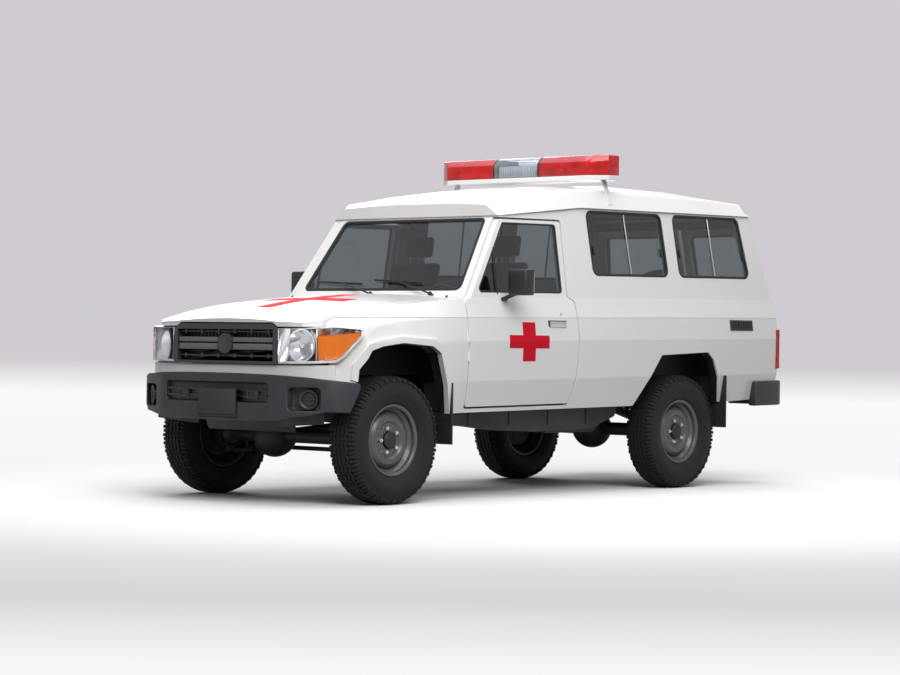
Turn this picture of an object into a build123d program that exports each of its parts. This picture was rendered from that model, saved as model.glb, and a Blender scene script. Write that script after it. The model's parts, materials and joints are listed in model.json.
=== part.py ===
from build123d import *
import os
from math import hypot

# Four-wheel-drive hardtop ambulance. Millimetres, X forward, Y left, Z up.
# Origin: on the ground, under the middle of the overall box.
# Heights of the body and frame are given at the front axle; the rake then lifts them to the rear.

# Stance and running gear
FRONT_AXLE_X = 1810.0
WHEELBASE = 2980.0
REAR_AXLE_X = FRONT_AXLE_X - WHEELBASE
RAKE = 0.014
TRACK_FRONT = 1460.0
TRACK_REAR = 1380.0
TYRE_RADIUS = 390.0
TYRE_WIDTH = 210.0
RIM_FLANGE_RADIUS = 219.0
RIM_SEAT_RADIUS = 204.0
RIM_HALF_WIDTH = 79.0
RIM_WALL = 7.0
DISC_THICKNESS = 9.0
HUB_RADIUS = 54.0
HUB_OUT = 66.0
BRAKE_RADIUS = 150.0
BRAKE_INNER = 8.0             # brake face, inboard of the wheel's middle
SPINDLE_RADIUS = 30.0
BRAKE_OUTER = 14.0
SPINDLE_END = 25.0            # spindle tip, outboard of the wheel's middle
PLAY = 0.3
KINGPIN_Y = 620.0
KINGPIN_RADIUS = 18.0
SWIVEL_RADIUS = 78.0          # ball end of the front axle
SWIVEL_PLAY = 5.0
SWIVEL_WALL = 14.0
STEER_ARM = 170.0
ARM_WIDTH = 44.0
ARM_HEIGHT = 22.0
ARM_DROP = -112.0             # arm's middle, from the axle's centre
TIE_ROD_RADIUS = 14.0
EYE_HEIGHT = 32.0
EYE_PLAY = 0.4
AXLE_TUBE_RADIUS = 45.0
DIFF_RADIUS = 140.0
FRONT_DIFF_Y = -200.0
SHAFT_RADIUS = 34.0

# Frame
RAIL_INNER_Y = 310.0
RAIL_OUTER_Y = 390.0
RAIL_HEIGHT = 120.0
FRONT_COIL_Y = 455.0
COIL_RADIUS = 52.0
COIL_WIRE = 9.0
COIL_PITCH = 36.0
COIL_TOP_Z = 745.0
LEAF_WIDTH = 70.0
LEAF_GAP = 70.0               # between leaf and tyre
LEAF_Y = TRACK_REAR / 2 - TYRE_WIDTH / 2 - LEAF_GAP - LEAF_WIDTH / 2
LEAF_HALF_LENGTH = 620.0

# Body shell: side line as (half width, height) from sill to gutter
WALL = 45.0
SEAM = 8.0                    # gap round panels that swing away from their frame
DOOR_GAP = 12.0               # gap round edges that swing past their frame
SIDE_LINE = (
    (802.0, 540.0),
    (838.0, 735.0),
    (848.0, 985.0),
    (832.0, 1130.0),
    (800.0, 1262.0),
    (707.0, 1860.0),
)
SILL_Z = SIDE_LINE[0][1]
BELT_Z = SIDE_LINE[4][1]
GUTTER_Z = SIDE_LINE[5][1]
GUTTER_FRONT_Z = 1784.0
ROOF_STEP_X = -92.0           # the gutter rises from the windscreen to here
ROOF_SKIN = 40.0
ROOF_LIP = 22.0               # the roof stands out over the sides by this much
POST = 75.0                   # width of the rear corner posts
REAR_FACE_X = -2250.0
REAR_KINK_Z = 1140.0          # above this the rear leans forward
REAR_LEAN = 0.27
REAR_SKIRT_Z = 560.0
REAR_TOP_Z = 1800.0
DOOR_FRONT_X = 1160.0
DOOR_REAR_X = 70.0
DOOR_BOTTOM_Z = 575.0
DOOR_TOP_Z = 1762.0
DOOR_CORNER = 25.0
FRAME_BAR = 40.0              # width of the door's window frame
WINDOW_LOW_Z = 1290.0
FLOOR_TOP_Z = 730.0
FLOOR_THICKNESS = 35.0
FLOOR_LOW_Z = FLOOR_TOP_Z - FLOOR_THICKNESS
FIREWALL_X = 1150.0
FIREWALL_THICKNESS = 30.0
COWL_LOW_Z = 1180.0
HINGE_RADIUS = 7.0
HINGE_LENGTH = 60.0

# Windscreen plane
SCREEN_FOOT_X = 1105.0
SCREEN_SLOPE = 0.698          # run back per unit of height
SCREEN_FRAME = 42.0
SCREEN_LOW_Z = 1302.0
SCREEN_HIGH_Z = 1772.0
SCREEN_LOW_HALF = 692.0
SCREEN_HIGH_HALF = 620.0
SCREEN_CORNER = 45.0
GLASS = 6.0
GLASS_SET = 8.0               # glass face, behind the outer face

# Front end
BONNET_HALF = 690.0
BONNET_REAR_X = 1172.0
BONNET_SKIN = 24.0
WING_SKIN = 25.0
WING_REAR_X = DOOR_FRONT_X + SEAM
APRON_Y = 410.0
APRON_THICKNESS = 15.0
APRON_LOW_Z = 775.0
LEDGE_Z = 1040.0
NOSE_X = 2452.0               # front face of the grille
PANEL_BACK = 152.0            # radiator panel, behind the grille's face
PANEL_X = NOSE_X - PANEL_BACK
PANEL_THICKNESS = 40.0
GRILLE_DEPTH = 60.0
GRILLE_HALF = 448.0
GRILLE_TOP_HALF = 392.0
GRILLE_LOW_Z = 850.0
GRILLE_CORNER_Z = 1062.0
GRILLE_HIGH_Z = 1092.0
GRILLE_FRAME = 34.0
GRILLE_SLAT = 8.0
GRILLE_BADGE = 62.0           # radius of the blank round boss
LAMP_LOW_Z = 866.0
LAMP_HIGH_Z = 1068.0
BUMPER_OUT = 93.0             # bumper's face, ahead of the grille
BUMPER_WALL = 75.0

# Light bar
BAR_X = -430.0
BAR_HALF = 738.0
BAR_DEPTH = 300.0
BAR_TIP_DEPTH = 110.0         # depth left at the pointed ends
BAR_TAPER = 120.0
BAR_LOW_Z = 2058.0
BAR_BASE = 30.0
BAR_HIGH_Z = 2224.0
BAR_SLOPE = 45.0              # height and run of the sloping upper face
BAR_GAP = 14.0                # dark joint between lenses
BAR_MIDDLE_HALF = 190.0
BAR_FOOT_Y = 652.0
FOOT_DROP = 166.0
FOOT_SPREAD = 62.0
FOOT_WIDTH = 46.0
FOOT_THICKNESS = 10.0

# Rear
REAR_SPLIT_Y = 110.0
SPLIT_FLARE = 9.0             # the rear doors' free edges draw apart towards the top
SPARE_Y = -310.0
SPARE_Z = 1165.0
SPARE_GAP = 85.0
SPARE_X = REAR_FACE_X - SPARE_GAP - TYRE_WIDTH / 2
CARRIER_RADIUS = 75.0
TOW_PIN_RADIUS = 12.5
TOW_PLATE = 20.0


def lift(x, z):
    return z + RAKE * (FRONT_AXLE_X - x)


def swept(points, along, corner=0.0):
    """Closed outline of 3-D points carried along a vector."""
    if corner:
        outline = FilletPolyline(*points, radius=corner, close=True)
    else:
        outline = Polyline(*points, close=True)
    return Solid.extrude(Face(Wire(outline.edges())), Vector(*along))


def from_side(points, y_from, y_to, corner=0.0):
    """Outline of (x, z) pairs, raked, carried across the body."""
    return swept([(x, y_from, lift(x, z)) for x, z in points], (0, y_to - y_from, 0), corner)


def from_front(points, x_from, x_to, corner=0.0):
    """Outline of (y, z) pairs carried along the raked body."""
    drop = lift(x_to, 0) - lift(x_from, 0)
    return swept([(x_from, y, lift(x_from, z)) for y, z in points], (x_to - x_from, 0, drop), corner)


def from_above(points, z_from, z_to, corner=0.0):
    """Outline of (x, y) pairs, laid on the raked body, carried upwards."""
    return swept([(x, y, lift(x, z_from)) for x, y in points], (0, 0, z_to - z_from), corner)


def block(x, y, z):
    """Raked box between pairs of limits."""
    return from_side(((x[0], z[0]), (x[1], z[0]), (x[1], z[1]), (x[0], z[1])), y[0], y[1])


def rod(start, end, radius):
    start = Vector(*start)
    run = Vector(*end) - start
    return Solid.make_cylinder(radius, run.length, Plane(origin=start, z_dir=run))


def other_side(solid):
    return mirror(solid, about=Plane.XZ)


def both_sides(solid):
    return [solid, other_side(solid)]


def joined(solids):
    whole = solids[0]
    for solid in solids[1:]:
        whole = whole + solid
    return whole


def seated(solid, *carriers):
    """Piece cut back to the faces of what carries it."""
    for carrier in carriers:
        solid = solid - carrier
    return solid


def side_y(z):
    """Half width of the body's side line at a height."""
    for (y_low, z_low), (y_high, z_high) in zip(SIDE_LINE, SIDE_LINE[1:]):
        if z <= z_high:
            break
    return y_low + (y_high - y_low) * (z - z_low) / (z_high - z_low)


def rear_x(z):
    return REAR_FACE_X + REAR_LEAN * max(0.0, z - REAR_KINK_Z)


def screen_x(z):
    return SCREEN_FOOT_X - SCREEN_SLOPE * (z - BELT_Z)


def skin(inset, thickness):
    """Left side wall that follows the side line, from the front door to the rear face."""
    outer = [(y - inset, z) for y, z in SIDE_LINE]
    inner = [(y - thickness, z) for y, z in reversed(outer)]
    return from_front(outer + inner, WING_REAR_X, REAR_FACE_X)


def hinge(axis_point, direction, radius):
    """Pin of a hinge, centred on a point of its axis."""
    half = Vector(*direction) * (HINGE_LENGTH / 2)
    point = Vector(*axis_point)
    return rod(tuple(point - half), tuple(point + half), radius)


nodes = {}

# Wheels: section pairs are (radius, offset from the wheel's middle, outboard positive)
TYRE_SECTION = (
    (RIM_SEAT_RADIUS + PLAY, 65.0),
    (RIM_FLANGE_RADIUS + PLAY, 70.0),
    (RIM_FLANGE_RADIUS + 12.0, 86.0),
    (300.0, TYRE_WIDTH / 2),
    (TYRE_RADIUS - 32.0, 99.0),
    (TYRE_RADIUS - 8.0, 86.0),
    (TYRE_RADIUS, 70.0),
)
RIM_LINE = (
    (RIM_FLANGE_RADIUS, RIM_HALF_WIDTH),
    (RIM_FLANGE_RADIUS, 71.0),
    (RIM_SEAT_RADIUS, 66.0),
    (RIM_SEAT_RADIUS, 42.0),
    (180.0, 26.0),
)
DISC_LINE = ((178.0, 30.0), (140.0, 52.0), (112.0, 50.0), (100.0, 36.0), (50.0, 36.0))


def turned(section):
    """Section turned about the wheel's axle, which lies along Y."""
    face = Face(Wire(Polyline(*section, close=True).edges()))
    return Solid.revolve(face, 360, Axis.Y)


def flipped(section):
    return tuple((radius, -offset) for radius, offset in reversed(section))


def make_rim(hub):
    half = RIM_LINE + flipped(RIM_LINE)
    barrel = turned(half + tuple((radius - RIM_WALL, offset) for radius, offset in reversed(half)))
    back = tuple((radius, offset - DISC_THICKNESS) for radius, offset in reversed(DISC_LINE))
    rim = barrel + turned(DISC_LINE + back)
    if not hub:
        return rim
    cap = rod((0, -BRAKE_INNER, 0), (0, HUB_OUT, 0), HUB_RADIUS)
    brake = rod((0, -BRAKE_INNER, 0), (0, BRAKE_OUTER, 0), BRAKE_RADIUS)
    bore = rod((0, -3 * BRAKE_INNER, 0), (0, SPINDLE_END + 5 * PLAY, 0), SPINDLE_RADIUS + PLAY)
    return rim + cap + brake - bore


WHEELS = (
    # name, axle x, middle y, turn about the vertical
    ("front_left", FRONT_AXLE_X, TRACK_FRONT / 2, 0),
    ("front_right", FRONT_AXLE_X, -TRACK_FRONT / 2, 180),
    ("rear_left", REAR_AXLE_X, TRACK_REAR / 2, 0),
    ("rear_right", REAR_AXLE_X, -TRACK_REAR / 2, 180),
)
tyre = turned(TYRE_SECTION + flipped(TYRE_SECTION))
road_rim = make_rim(hub=True)
for name, x, y, turn in WHEELS:
    place = Pos(x, y, TYRE_RADIUS) * Rot(0, 0, turn)
    nodes["tyre_" + name] = place * tyre
    nodes["rim_" + name] = place * road_rim
spare_place = Pos(SPARE_X, SPARE_Y, SPARE_Z) * Rot(0, 0, 90)
spare_rim = spare_place * make_rim(hub=False)
nodes["tyre_spare"] = spare_place * tyre
nodes["rim_spare"] = spare_rim

# Front axle, knuckles and steering
AXLE_Z = TYRE_RADIUS


def make_front_axle():
    centre_left = Pos(FRONT_AXLE_X, KINGPIN_Y, AXLE_Z)
    centre_right = Pos(FRONT_AXLE_X, -KINGPIN_Y, AXLE_Z)
    tube = rod((FRONT_AXLE_X, -KINGPIN_Y, AXLE_Z), (FRONT_AXLE_X, KINGPIN_Y, AXLE_Z), AXLE_TUBE_RADIUS)
    casing = Pos(FRONT_AXLE_X, FRONT_DIFF_Y, AXLE_Z) * Sphere(DIFF_RADIUS)
    axle = joined([tube, casing, centre_left * Sphere(SWIVEL_RADIUS), centre_right * Sphere(SWIVEL_RADIUS)])
    for y in (KINGPIN_Y, -KINGPIN_Y):
        low = (FRONT_AXLE_X, y, AXLE_Z - 2 * SWIVEL_RADIUS)
        high = (FRONT_AXLE_X, y, AXLE_Z + 2 * SWIVEL_RADIUS)
        axle = axle - rod(low, high, KINGPIN_RADIUS + PLAY)
    return axle


def make_knuckle():
    """Left steering knuckle: a cup round the axle's ball, kingpins, spindle and steering arm."""
    cup_radius = SWIVEL_RADIUS + SWIVEL_PLAY
    outer = cup_radius + SWIVEL_WALL
    place = Pos(FRONT_AXLE_X, KINGPIN_Y, AXLE_Z)
    inboard = Pos(FRONT_AXLE_X, KINGPIN_Y - AXLE_TUBE_RADIUS / 2 - 2 * outer, AXLE_Z)
    cup = place * Sphere(outer) - place * Sphere(cup_radius) - inboard * Box(4 * outer, 4 * outer, 4 * outer)
    spindle = rod((FRONT_AXLE_X, KINGPIN_Y + cup_radius, AXLE_Z),
                  (FRONT_AXLE_X, TRACK_FRONT / 2 + SPINDLE_END, AXLE_Z), SPINDLE_RADIUS)
    pins = [
        rod((FRONT_AXLE_X, KINGPIN_Y, AXLE_Z + sign * SWIVEL_RADIUS / 2),
            (FRONT_AXLE_X, KINGPIN_Y, AXLE_Z + sign * (outer + ARM_HEIGHT / 2)), KINGPIN_RADIUS)
        for sign in (1, -1)
    ]
    arm_x = FRONT_AXLE_X - (STEER_ARM + ARM_WIDTH / 2) / 2 + ARM_WIDTH / 2
    arm = Pos(arm_x, KINGPIN_Y, AXLE_Z + ARM_DROP) * Box(STEER_ARM + 1.5 * ARM_WIDTH, ARM_WIDTH, ARM_HEIGHT)
    boss = rod((FRONT_AXLE_X, KINGPIN_Y, AXLE_Z + ARM_DROP),
               (FRONT_AXLE_X, KINGPIN_Y, AXLE_Z - cup_radius - 2), 2 * KINGPIN_RADIUS)
    return joined([cup, spindle, *pins, boss, arm])


def make_tie_rod():
    """Cross rod that lies on top of both steering arms, with an eye at each end."""
    x = FRONT_AXLE_X - STEER_ARM
    low = AXLE_Z + ARM_DROP + ARM_HEIGHT / 2 + EYE_PLAY
    eyes = [rod((x, y, low), (x, y, low + EYE_HEIGHT), ARM_WIDTH / 2) for y in (KINGPIN_Y, -KINGPIN_Y)]
    middle = low + EYE_HEIGHT / 2
    return joined([rod((x, -KINGPIN_Y, middle), (x, KINGPIN_Y, middle), TIE_ROD_RADIUS), *eyes])


front_axle = make_front_axle()
nodes["front_axle"] = front_axle
nodes["knuckle_left"] = make_knuckle()
nodes["knuckle_right"] = other_side(make_knuckle())
nodes["tie_rod"] = make_tie_rod()

# Rear axle with its two spindles
rear_end = TRACK_REAR / 2 - BRAKE_INNER - SWIVEL_PLAY
rear_axle = joined([
    rod((REAR_AXLE_X, -rear_end, AXLE_Z), (REAR_AXLE_X, rear_end, AXLE_Z), AXLE_TUBE_RADIUS),
    Pos(REAR_AXLE_X, 0, AXLE_Z) * Sphere(DIFF_RADIUS),
    rod((REAR_AXLE_X, -TRACK_REAR / 2 - SPINDLE_END, AXLE_Z),
        (REAR_AXLE_X, TRACK_REAR / 2 + SPINDLE_END, AXLE_Z), SPINDLE_RADIUS),
])
nodes["rear_axle"] = rear_axle

# Floor with firewall, rear sill and wheelhouses
left_wall = skin(0, WALL)
HOUSE_HALF = 450.0
HOUSE_INNER_Y = 545.0
HOUSE_TOP_Z = 940.0
HOUSE_SKIN = 15.0
MIDDLE_TO_SIDE = 900.0        # reaches past the widest point of the body


def make_floor():
    slab = block((REAR_FACE_X + WALL + SEAM, FIREWALL_X), (-MIDDLE_TO_SIDE, MIDDLE_TO_SIDE),
                 (FLOOR_LOW_Z, FLOOR_TOP_Z))
    sill = block((REAR_FACE_X, REAR_FACE_X + 3 * WALL), (-MIDDLE_TO_SIDE, MIDDLE_TO_SIDE),
                 (REAR_SKIRT_Z, FLOOR_LOW_Z))
    wall_half = side_y(BELT_Z) - WALL - SEAM
    firewall = block((FIREWALL_X - FIREWALL_THICKNESS, FIREWALL_X), (-wall_half, wall_half),
                     (FLOOR_LOW_Z, COWL_LOW_Z))
    floor = joined([slab, sill, firewall])
    for sign in (1, -1):
        house_x = (REAR_AXLE_X - HOUSE_HALF, REAR_AXLE_X + HOUSE_HALF)
        well_x = (house_x[0] + HOUSE_SKIN, house_x[1] - HOUSE_SKIN)
        house = block(house_x, (sign * HOUSE_INNER_Y, sign * MIDDLE_TO_SIDE), (FLOOR_LOW_Z, HOUSE_TOP_Z))
        well = block(well_x, (sign * (HOUSE_INNER_Y + HOUSE_SKIN), sign * MIDDLE_TO_SIDE),
                     (SILL_Z, HOUSE_TOP_Z - HOUSE_SKIN))
        floor = floor + house - well
    beyond = ((MIDDLE_TO_SIDE, GUTTER_Z), (MIDDLE_TO_SIDE, SILL_Z))
    outside = from_front([*SIDE_LINE, *beyond], FIREWALL_X, REAR_FACE_X)
    cut_left = left_wall + outside
    return seated(floor, cut_left, other_side(cut_left))


floor = make_floor()
nodes["floor"] = floor

# Body sides
ARCH_REAR = ((661.0, 450.0), (314.0, 880.0), (-223.0, 895.0),
             (-298.0, 838.0), (-358.0, 720.0), (-430.0, 450.0))
SIDE_WINDOWS = (
    # front and rear edge at the foot, front and rear edge at the head
    (-168.0, -1012.0, -152.0, -990.0),
    (-1134.0, REAR_FACE_X + 264, -1118.0, REAR_FACE_X + 338),
)
SIDE_WINDOW_Z = (1410.0, 1846.0)
SIDE_WINDOW_CORNER = 55.0
CREASE_Z = (1127.0, 1133.0)
CREASE_DEPTH = 4.0
side_shell = skin(-1, CREASE_DEPTH + 1)


def door_outline(grow):
    """Front door's outline in (x, z), each edge moved outwards by an amount."""
    foot = SCREEN_FOOT_X - SEAM + grow
    return (
        (DOOR_FRONT_X + grow, DOOR_BOTTOM_Z - grow),
        (DOOR_FRONT_X + grow, BELT_Z - 20 + grow),
        (foot, BELT_Z + grow),
        (foot - SCREEN_SLOPE * (DOOR_TOP_Z - BELT_Z), DOOR_TOP_Z + grow),
        (DOOR_REAR_X + 62 - grow, DOOR_TOP_Z + grow),
        (DOOR_REAR_X + 72 - grow, BELT_Z + 8),
        (DOOR_REAR_X + 4 - grow, BELT_Z - 22),
        (DOOR_REAR_X - 8 - grow, 960.0),
        (DOOR_REAR_X + 10 - grow, 760.0),
        (DOOR_REAR_X + 60 - grow, DOOR_BOTTOM_Z - grow),
    )


def window_outline(window):
    foot_front, foot_rear, head_front, head_rear = window
    low, high = SIDE_WINDOW_Z
    return ((foot_front, low), (head_front, high), (head_rear, high), (foot_rear, low))


def crease(solid, shell):
    """Narrow groove along the crease, cut into a panel of the given outer shell."""
    return solid - (shell & block((REAR_FACE_X, PANEL_X), (BONNET_HALF, MIDDLE_TO_SIDE), CREASE_Z))


def post_y(z):
    """Inner edge of the rear corner post."""
    return min(side_y(z), side_y(BELT_Z)) - POST


def make_body_side():
    outline = (
        (WING_REAR_X, SILL_Z), (WING_REAR_X, DOOR_BOTTOM_Z), (SCREEN_FOOT_X - 2 * DOOR_GAP, BELT_Z),
        (screen_x(GUTTER_FRONT_Z), GUTTER_FRONT_Z), (ROOF_STEP_X, GUTTER_Z),
        (rear_x(GUTTER_Z), GUTTER_Z), (REAR_FACE_X, REAR_KINK_Z), (REAR_FACE_X, REAR_SKIRT_Z),
        (REAR_AXLE_X - 530.0, REAR_SKIRT_Z - 15), (REAR_AXLE_X + 700.0, SILL_Z),
    )
    shape = from_side(outline, 0, MIDDLE_TO_SIDE)
    strip = ((REAR_FACE_X, REAR_SKIRT_Z), (REAR_FACE_X, REAR_KINK_Z), (rear_x(GUTTER_Z), GUTTER_Z),
             (rear_x(GUTTER_Z) + POST, GUTTER_Z), (REAR_FACE_X + POST, REAR_KINK_Z),
             (REAR_FACE_X + POST, FLOOR_LOW_Z))
    inner = [(post_y(z), z) for y, z in reversed(SIDE_LINE)]
    post = from_front([*SIDE_LINE, *inner], 0, REAR_FACE_X) & from_side(strip, 0, MIDDLE_TO_SIDE)
    side = (left_wall & shape) + seated(post, floor)
    side = side - from_side(door_outline(DOOR_GAP), 0, MIDDLE_TO_SIDE, DOOR_CORNER)
    arch = [(REAR_AXLE_X + x, z) for x, z in ARCH_REAR]
    side = side - from_side(arch, 0, MIDDLE_TO_SIDE)
    for window in SIDE_WINDOWS:
        side = side - from_side(window_outline(window), 0, MIDDLE_TO_SIDE, SIDE_WINDOW_CORNER)
    return side


def rear_axis(sign):
    """Point on a rear door's hinge axis."""
    return REAR_FACE_X - HINGE_RADIUS / 2, sign * (post_y(BELT_Z) - SEAM / 2)


REAR_HINGE_Z = (860.0, 1080.0)
FRONT_HINGE_Z = (890.0, 1010.0)
body_side = crease(make_body_side(), side_shell)
rear_pins = [
    hinge((*rear_axis(1), lift(REAR_FACE_X, z)), (0, 0, 1), HINGE_RADIUS) for z in REAR_HINGE_Z
]
body_side = joined([body_side, *rear_pins])
glass_skin = skin(GLASS_SET, GLASS)
side_glass = [
    glass_skin & from_side(window_outline(window), 0, MIDDLE_TO_SIDE, SIDE_WINDOW_CORNER)
    for window in SIDE_WINDOWS
]
nodes["body_sides"] = both_sides(body_side)
nodes["side_windows"] = [piece for glass in side_glass for piece in both_sides(glass)]

# Roof: sections as station, half width and height of the shoulder, height of the crown
ROOF_SECTIONS = (
    (screen_x(GUTTER_FRONT_Z) + 14, 618.0, 1856.0, 1872.0),
    (690.0, 652.0, 1886.0, 1898.0),
    (250.0, 664.0, 1954.0, 1976.0),
    (-130.0, 666.0, 1986.0, 2016.0),
    (-900.0, 666.0, 1980.0, 2048.0),
    (-1600.0, 666.0, 1969.0, 2034.0),
    (rear_x(GUTTER_Z) + 50, 660.0, 1950.0, 1984.0),
    (rear_x(GUTTER_Z) - 12, 636.0, 1916.0, 1938.0),
)
ROOF_SHOULDER_RADIUS = 34.0
ROOF_DROP = 12.0              # the loft starts this far under the gutter, which cuts it
ROOF_CROWN_RADIUS = 600.0
ROOF_CROWN_SHARE = 0.42       # where the crown's bend lies, as a share of the half width


def gutter_z(x):
    front_x = screen_x(GUTTER_FRONT_Z)
    share = min(max((front_x - x) / (front_x - ROOF_STEP_X), 0), 1)
    return GUTTER_FRONT_Z + share * (GUTTER_Z - GUTTER_FRONT_Z)


def roof_section(x, half, shoulder_z, crown_z, inset):
    low_z = gutter_z(x) - ROOF_DROP
    low_half = side_y(gutter_z(x)) + ROOF_LIP
    corners = ((low_half - inset, low_z), (half - inset, shoulder_z - inset),
               (ROOF_CROWN_SHARE * half - inset, crown_z - inset))
    points = [(x, y, lift(x, z)) for y, z in corners]
    points += [(x, -y, z) for x, y, z in reversed(points)]
    radii = [ROOF_SHOULDER_RADIUS, ROOF_CROWN_RADIUS, ROOF_CROWN_RADIUS, ROOF_SHOULDER_RADIUS]
    top = FilletPolyline(*points, radius=radii)
    base = Line(points[-1], points[0])
    return Face(Wire([*top.edges(), base]))


def make_roof():
    outer = loft([roof_section(*section, 0) for section in ROOF_SECTIONS], ruled=True)
    (x_front, *front), *middle, (x_rear, *rear) = ROOF_SECTIONS
    inside = [(x_front - ROOF_SKIN, *front), *middle, (x_rear + ROOF_SKIN, *rear)]
    hollow = loft([roof_section(*section, ROOF_SKIN) for section in inside], ruled=True)
    front_end = ROOF_SECTIONS[0][0]
    rear_end = ROOF_SECTIONS[-1][0]
    above_gutter = from_side((
        (front_end, GUTTER_FRONT_Z), (ROOF_STEP_X, GUTTER_Z), (rear_end, GUTTER_Z),
        (rear_end, 2 * GUTTER_Z), (front_end, 2 * GUTTER_Z)), -MIDDLE_TO_SIDE, MIDDLE_TO_SIDE)
    header_low = REAR_TOP_Z + DOOR_GAP
    header = from_side(((rear_x(header_low), header_low), (rear_x(GUTTER_Z), GUTTER_Z),
                        (rear_x(GUTTER_Z) + POST, GUTTER_Z), (rear_x(header_low) + POST, header_low)),
                       -side_y(GUTTER_Z), side_y(GUTTER_Z))
    cap = (outer - hollow) & above_gutter
    return seated(cap + header, *both_sides(body_side))


roof = make_roof()
nodes["roof"] = roof

# Windscreen frame, cowl and glass


def on_screen(points, set_back, depth, corner=0.0):
    """Outline of (y, z) pairs in the windscreen's plane, given a depth backwards."""
    run = hypot(1, SCREEN_SLOPE)
    back = (-1 / run, 0, -SCREEN_SLOPE / run)
    placed = [
        (screen_x(z) + set_back * back[0], y, lift(screen_x(z), z) + set_back * back[2]) for y, z in points
    ]
    return swept(placed, [depth * step for step in back], corner)


def make_screen_frame():
    top_z = GUTTER_FRONT_Z + ROOF_SKIN / 2
    foot_half = side_y(BELT_Z) - WALL - SEAM
    top_half = side_y(top_z) - WALL - SEAM
    slab = on_screen(((-foot_half, BELT_Z), (foot_half, BELT_Z), (top_half, top_z), (-top_half, top_z)),
                     0, SCREEN_FRAME)
    hole = on_screen(SCREEN_OPENING, -SCREEN_FRAME, 3 * SCREEN_FRAME, SCREEN_CORNER)
    cowl = from_side(((FIREWALL_X - FIREWALL_THICKNESS, COWL_LOW_Z), (BONNET_REAR_X - SEAM, COWL_LOW_Z),
                      (BONNET_REAR_X - SEAM, BELT_Z), (SCREEN_FOOT_X, BELT_Z + 4),
                      (SCREEN_FOOT_X - 2 * SCREEN_FRAME, BELT_Z + 4),
                      (SCREEN_FOOT_X - 2 * SCREEN_FRAME, COWL_LOW_Z)), -foot_half, foot_half)
    return seated(slab - hole + cowl, roof, floor)


SCREEN_OPENING = (
    (-SCREEN_LOW_HALF, SCREEN_LOW_Z), (SCREEN_LOW_HALF, SCREEN_LOW_Z),
    (SCREEN_HIGH_HALF, SCREEN_HIGH_Z), (-SCREEN_HIGH_HALF, SCREEN_HIGH_Z),
)
screen_frame = make_screen_frame()
BONNET_HINGE_Y = 560.0
bonnet_axis = (BONNET_REAR_X - SEAM / 2, lift(BONNET_REAR_X, BELT_Z))
bonnet_pins = [
    hinge((bonnet_axis[0], y, bonnet_axis[1]), (0, 1, 0), HINGE_RADIUS)
    for y in (BONNET_HINGE_Y, -BONNET_HINGE_Y)
]
screen_frame = joined([screen_frame, *bonnet_pins])
nodes["windscreen_frame"] = screen_frame
nodes["windscreen"] = on_screen(SCREEN_OPENING, GLASS_SET, GLASS, SCREEN_CORNER)

# Front doors


def front_axis(sign):
    """Point on a front door's hinge axis."""
    return DOOR_FRONT_X + SEAM / 2, sign * (side_y(985.0) - PLAY)


WINDOW_TOP_Z = DOOR_TOP_Z - FRAME_BAR / 2
DOOR_GLASS = (
    (screen_x(WINDOW_LOW_Z) - SEAM - FRAME_BAR, WINDOW_LOW_Z),
    (screen_x(WINDOW_TOP_Z) - SEAM - FRAME_BAR, WINDOW_TOP_Z),
    (DOOR_REAR_X + 70 + FRAME_BAR, WINDOW_TOP_Z),
    (DOOR_REAR_X + 72 + FRAME_BAR, WINDOW_LOW_Z),
)
front_pins = [hinge((*front_axis(1), lift(DOOR_FRONT_X, z)), (0, 0, 1), HINGE_RADIUS) for z in FRONT_HINGE_Z]


def make_front_door():
    door = left_wall & from_side(door_outline(0), 0, MIDDLE_TO_SIDE, DOOR_CORNER)
    door = door - from_side(DOOR_GLASS, 0, MIDDLE_TO_SIDE, DOOR_CORNER)
    grooves = [
        hinge((*front_axis(1), lift(DOOR_FRONT_X, z)), (0, 0, 1.2), HINGE_RADIUS + PLAY)
        for z in FRONT_HINGE_Z
    ]
    return crease(seated(door, *grooves), side_shell)


door = make_front_door()
door_glass = glass_skin & from_side(DOOR_GLASS, 0, MIDDLE_TO_SIDE, DOOR_CORNER)
MIRROR_X = (760.0, 850.0)
MIRROR_Y = (880.0, 1040.0)
MIRROR_Z = (1275.0, 1440.0)


def make_mirror():
    head = block(MIRROR_X, MIRROR_Y, MIRROR_Z)
    base_y = side_y(BELT_Z) - WALL / 2
    arm = rod((MIRROR_X[1], base_y, lift(MIRROR_X[1], BELT_Z - 20)),
              ((MIRROR_X[0] + MIRROR_X[1]) / 2, MIRROR_Y[0] + 40, lift(MIRROR_X[0], MIRROR_Z[0] + 25)), 14.0)
    grip = ((MIRROR_X[0] + MIRROR_X[1]) / 2, MIRROR_Y[0] + 40, lift(MIRROR_X[0], MIRROR_Z[0] + 25))
    brace = rod((MIRROR_X[0], base_y, lift(MIRROR_X[0], BELT_Z - 20)), grip, 10.0)
    return seated(joined([head, arm, brace]), door)


mirror_left = make_mirror()
for side, place in (("left", lambda solid: solid), ("right", other_side)):
    nodes["door_" + side] = place(door)
    nodes["door_glass_" + side] = place(door_glass)
    nodes["mirror_" + side] = place(mirror_left)

# Rear doors
REAR_GLASS_Z = (1330.0, 1735.0)
REAR_GLASS_MARGIN = 62.0
REAR_GLASS_CORNER = 45.0
REAR_DOOR_LOW_Z = FLOOR_LOW_Z + DOOR_GAP


def rear_slab(set_in, thickness):
    """Full-width slab that follows the kinked rear face."""
    low, high = REAR_SKIRT_Z, GUTTER_Z
    outer = [(rear_x(z) + set_in, z) for z in (low, REAR_KINK_Z, high)]
    inner = [(x + thickness, z) for x, z in reversed(outer)]
    return from_side(outer + inner, -MIDDLE_TO_SIDE, MIDDLE_TO_SIDE)


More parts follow.
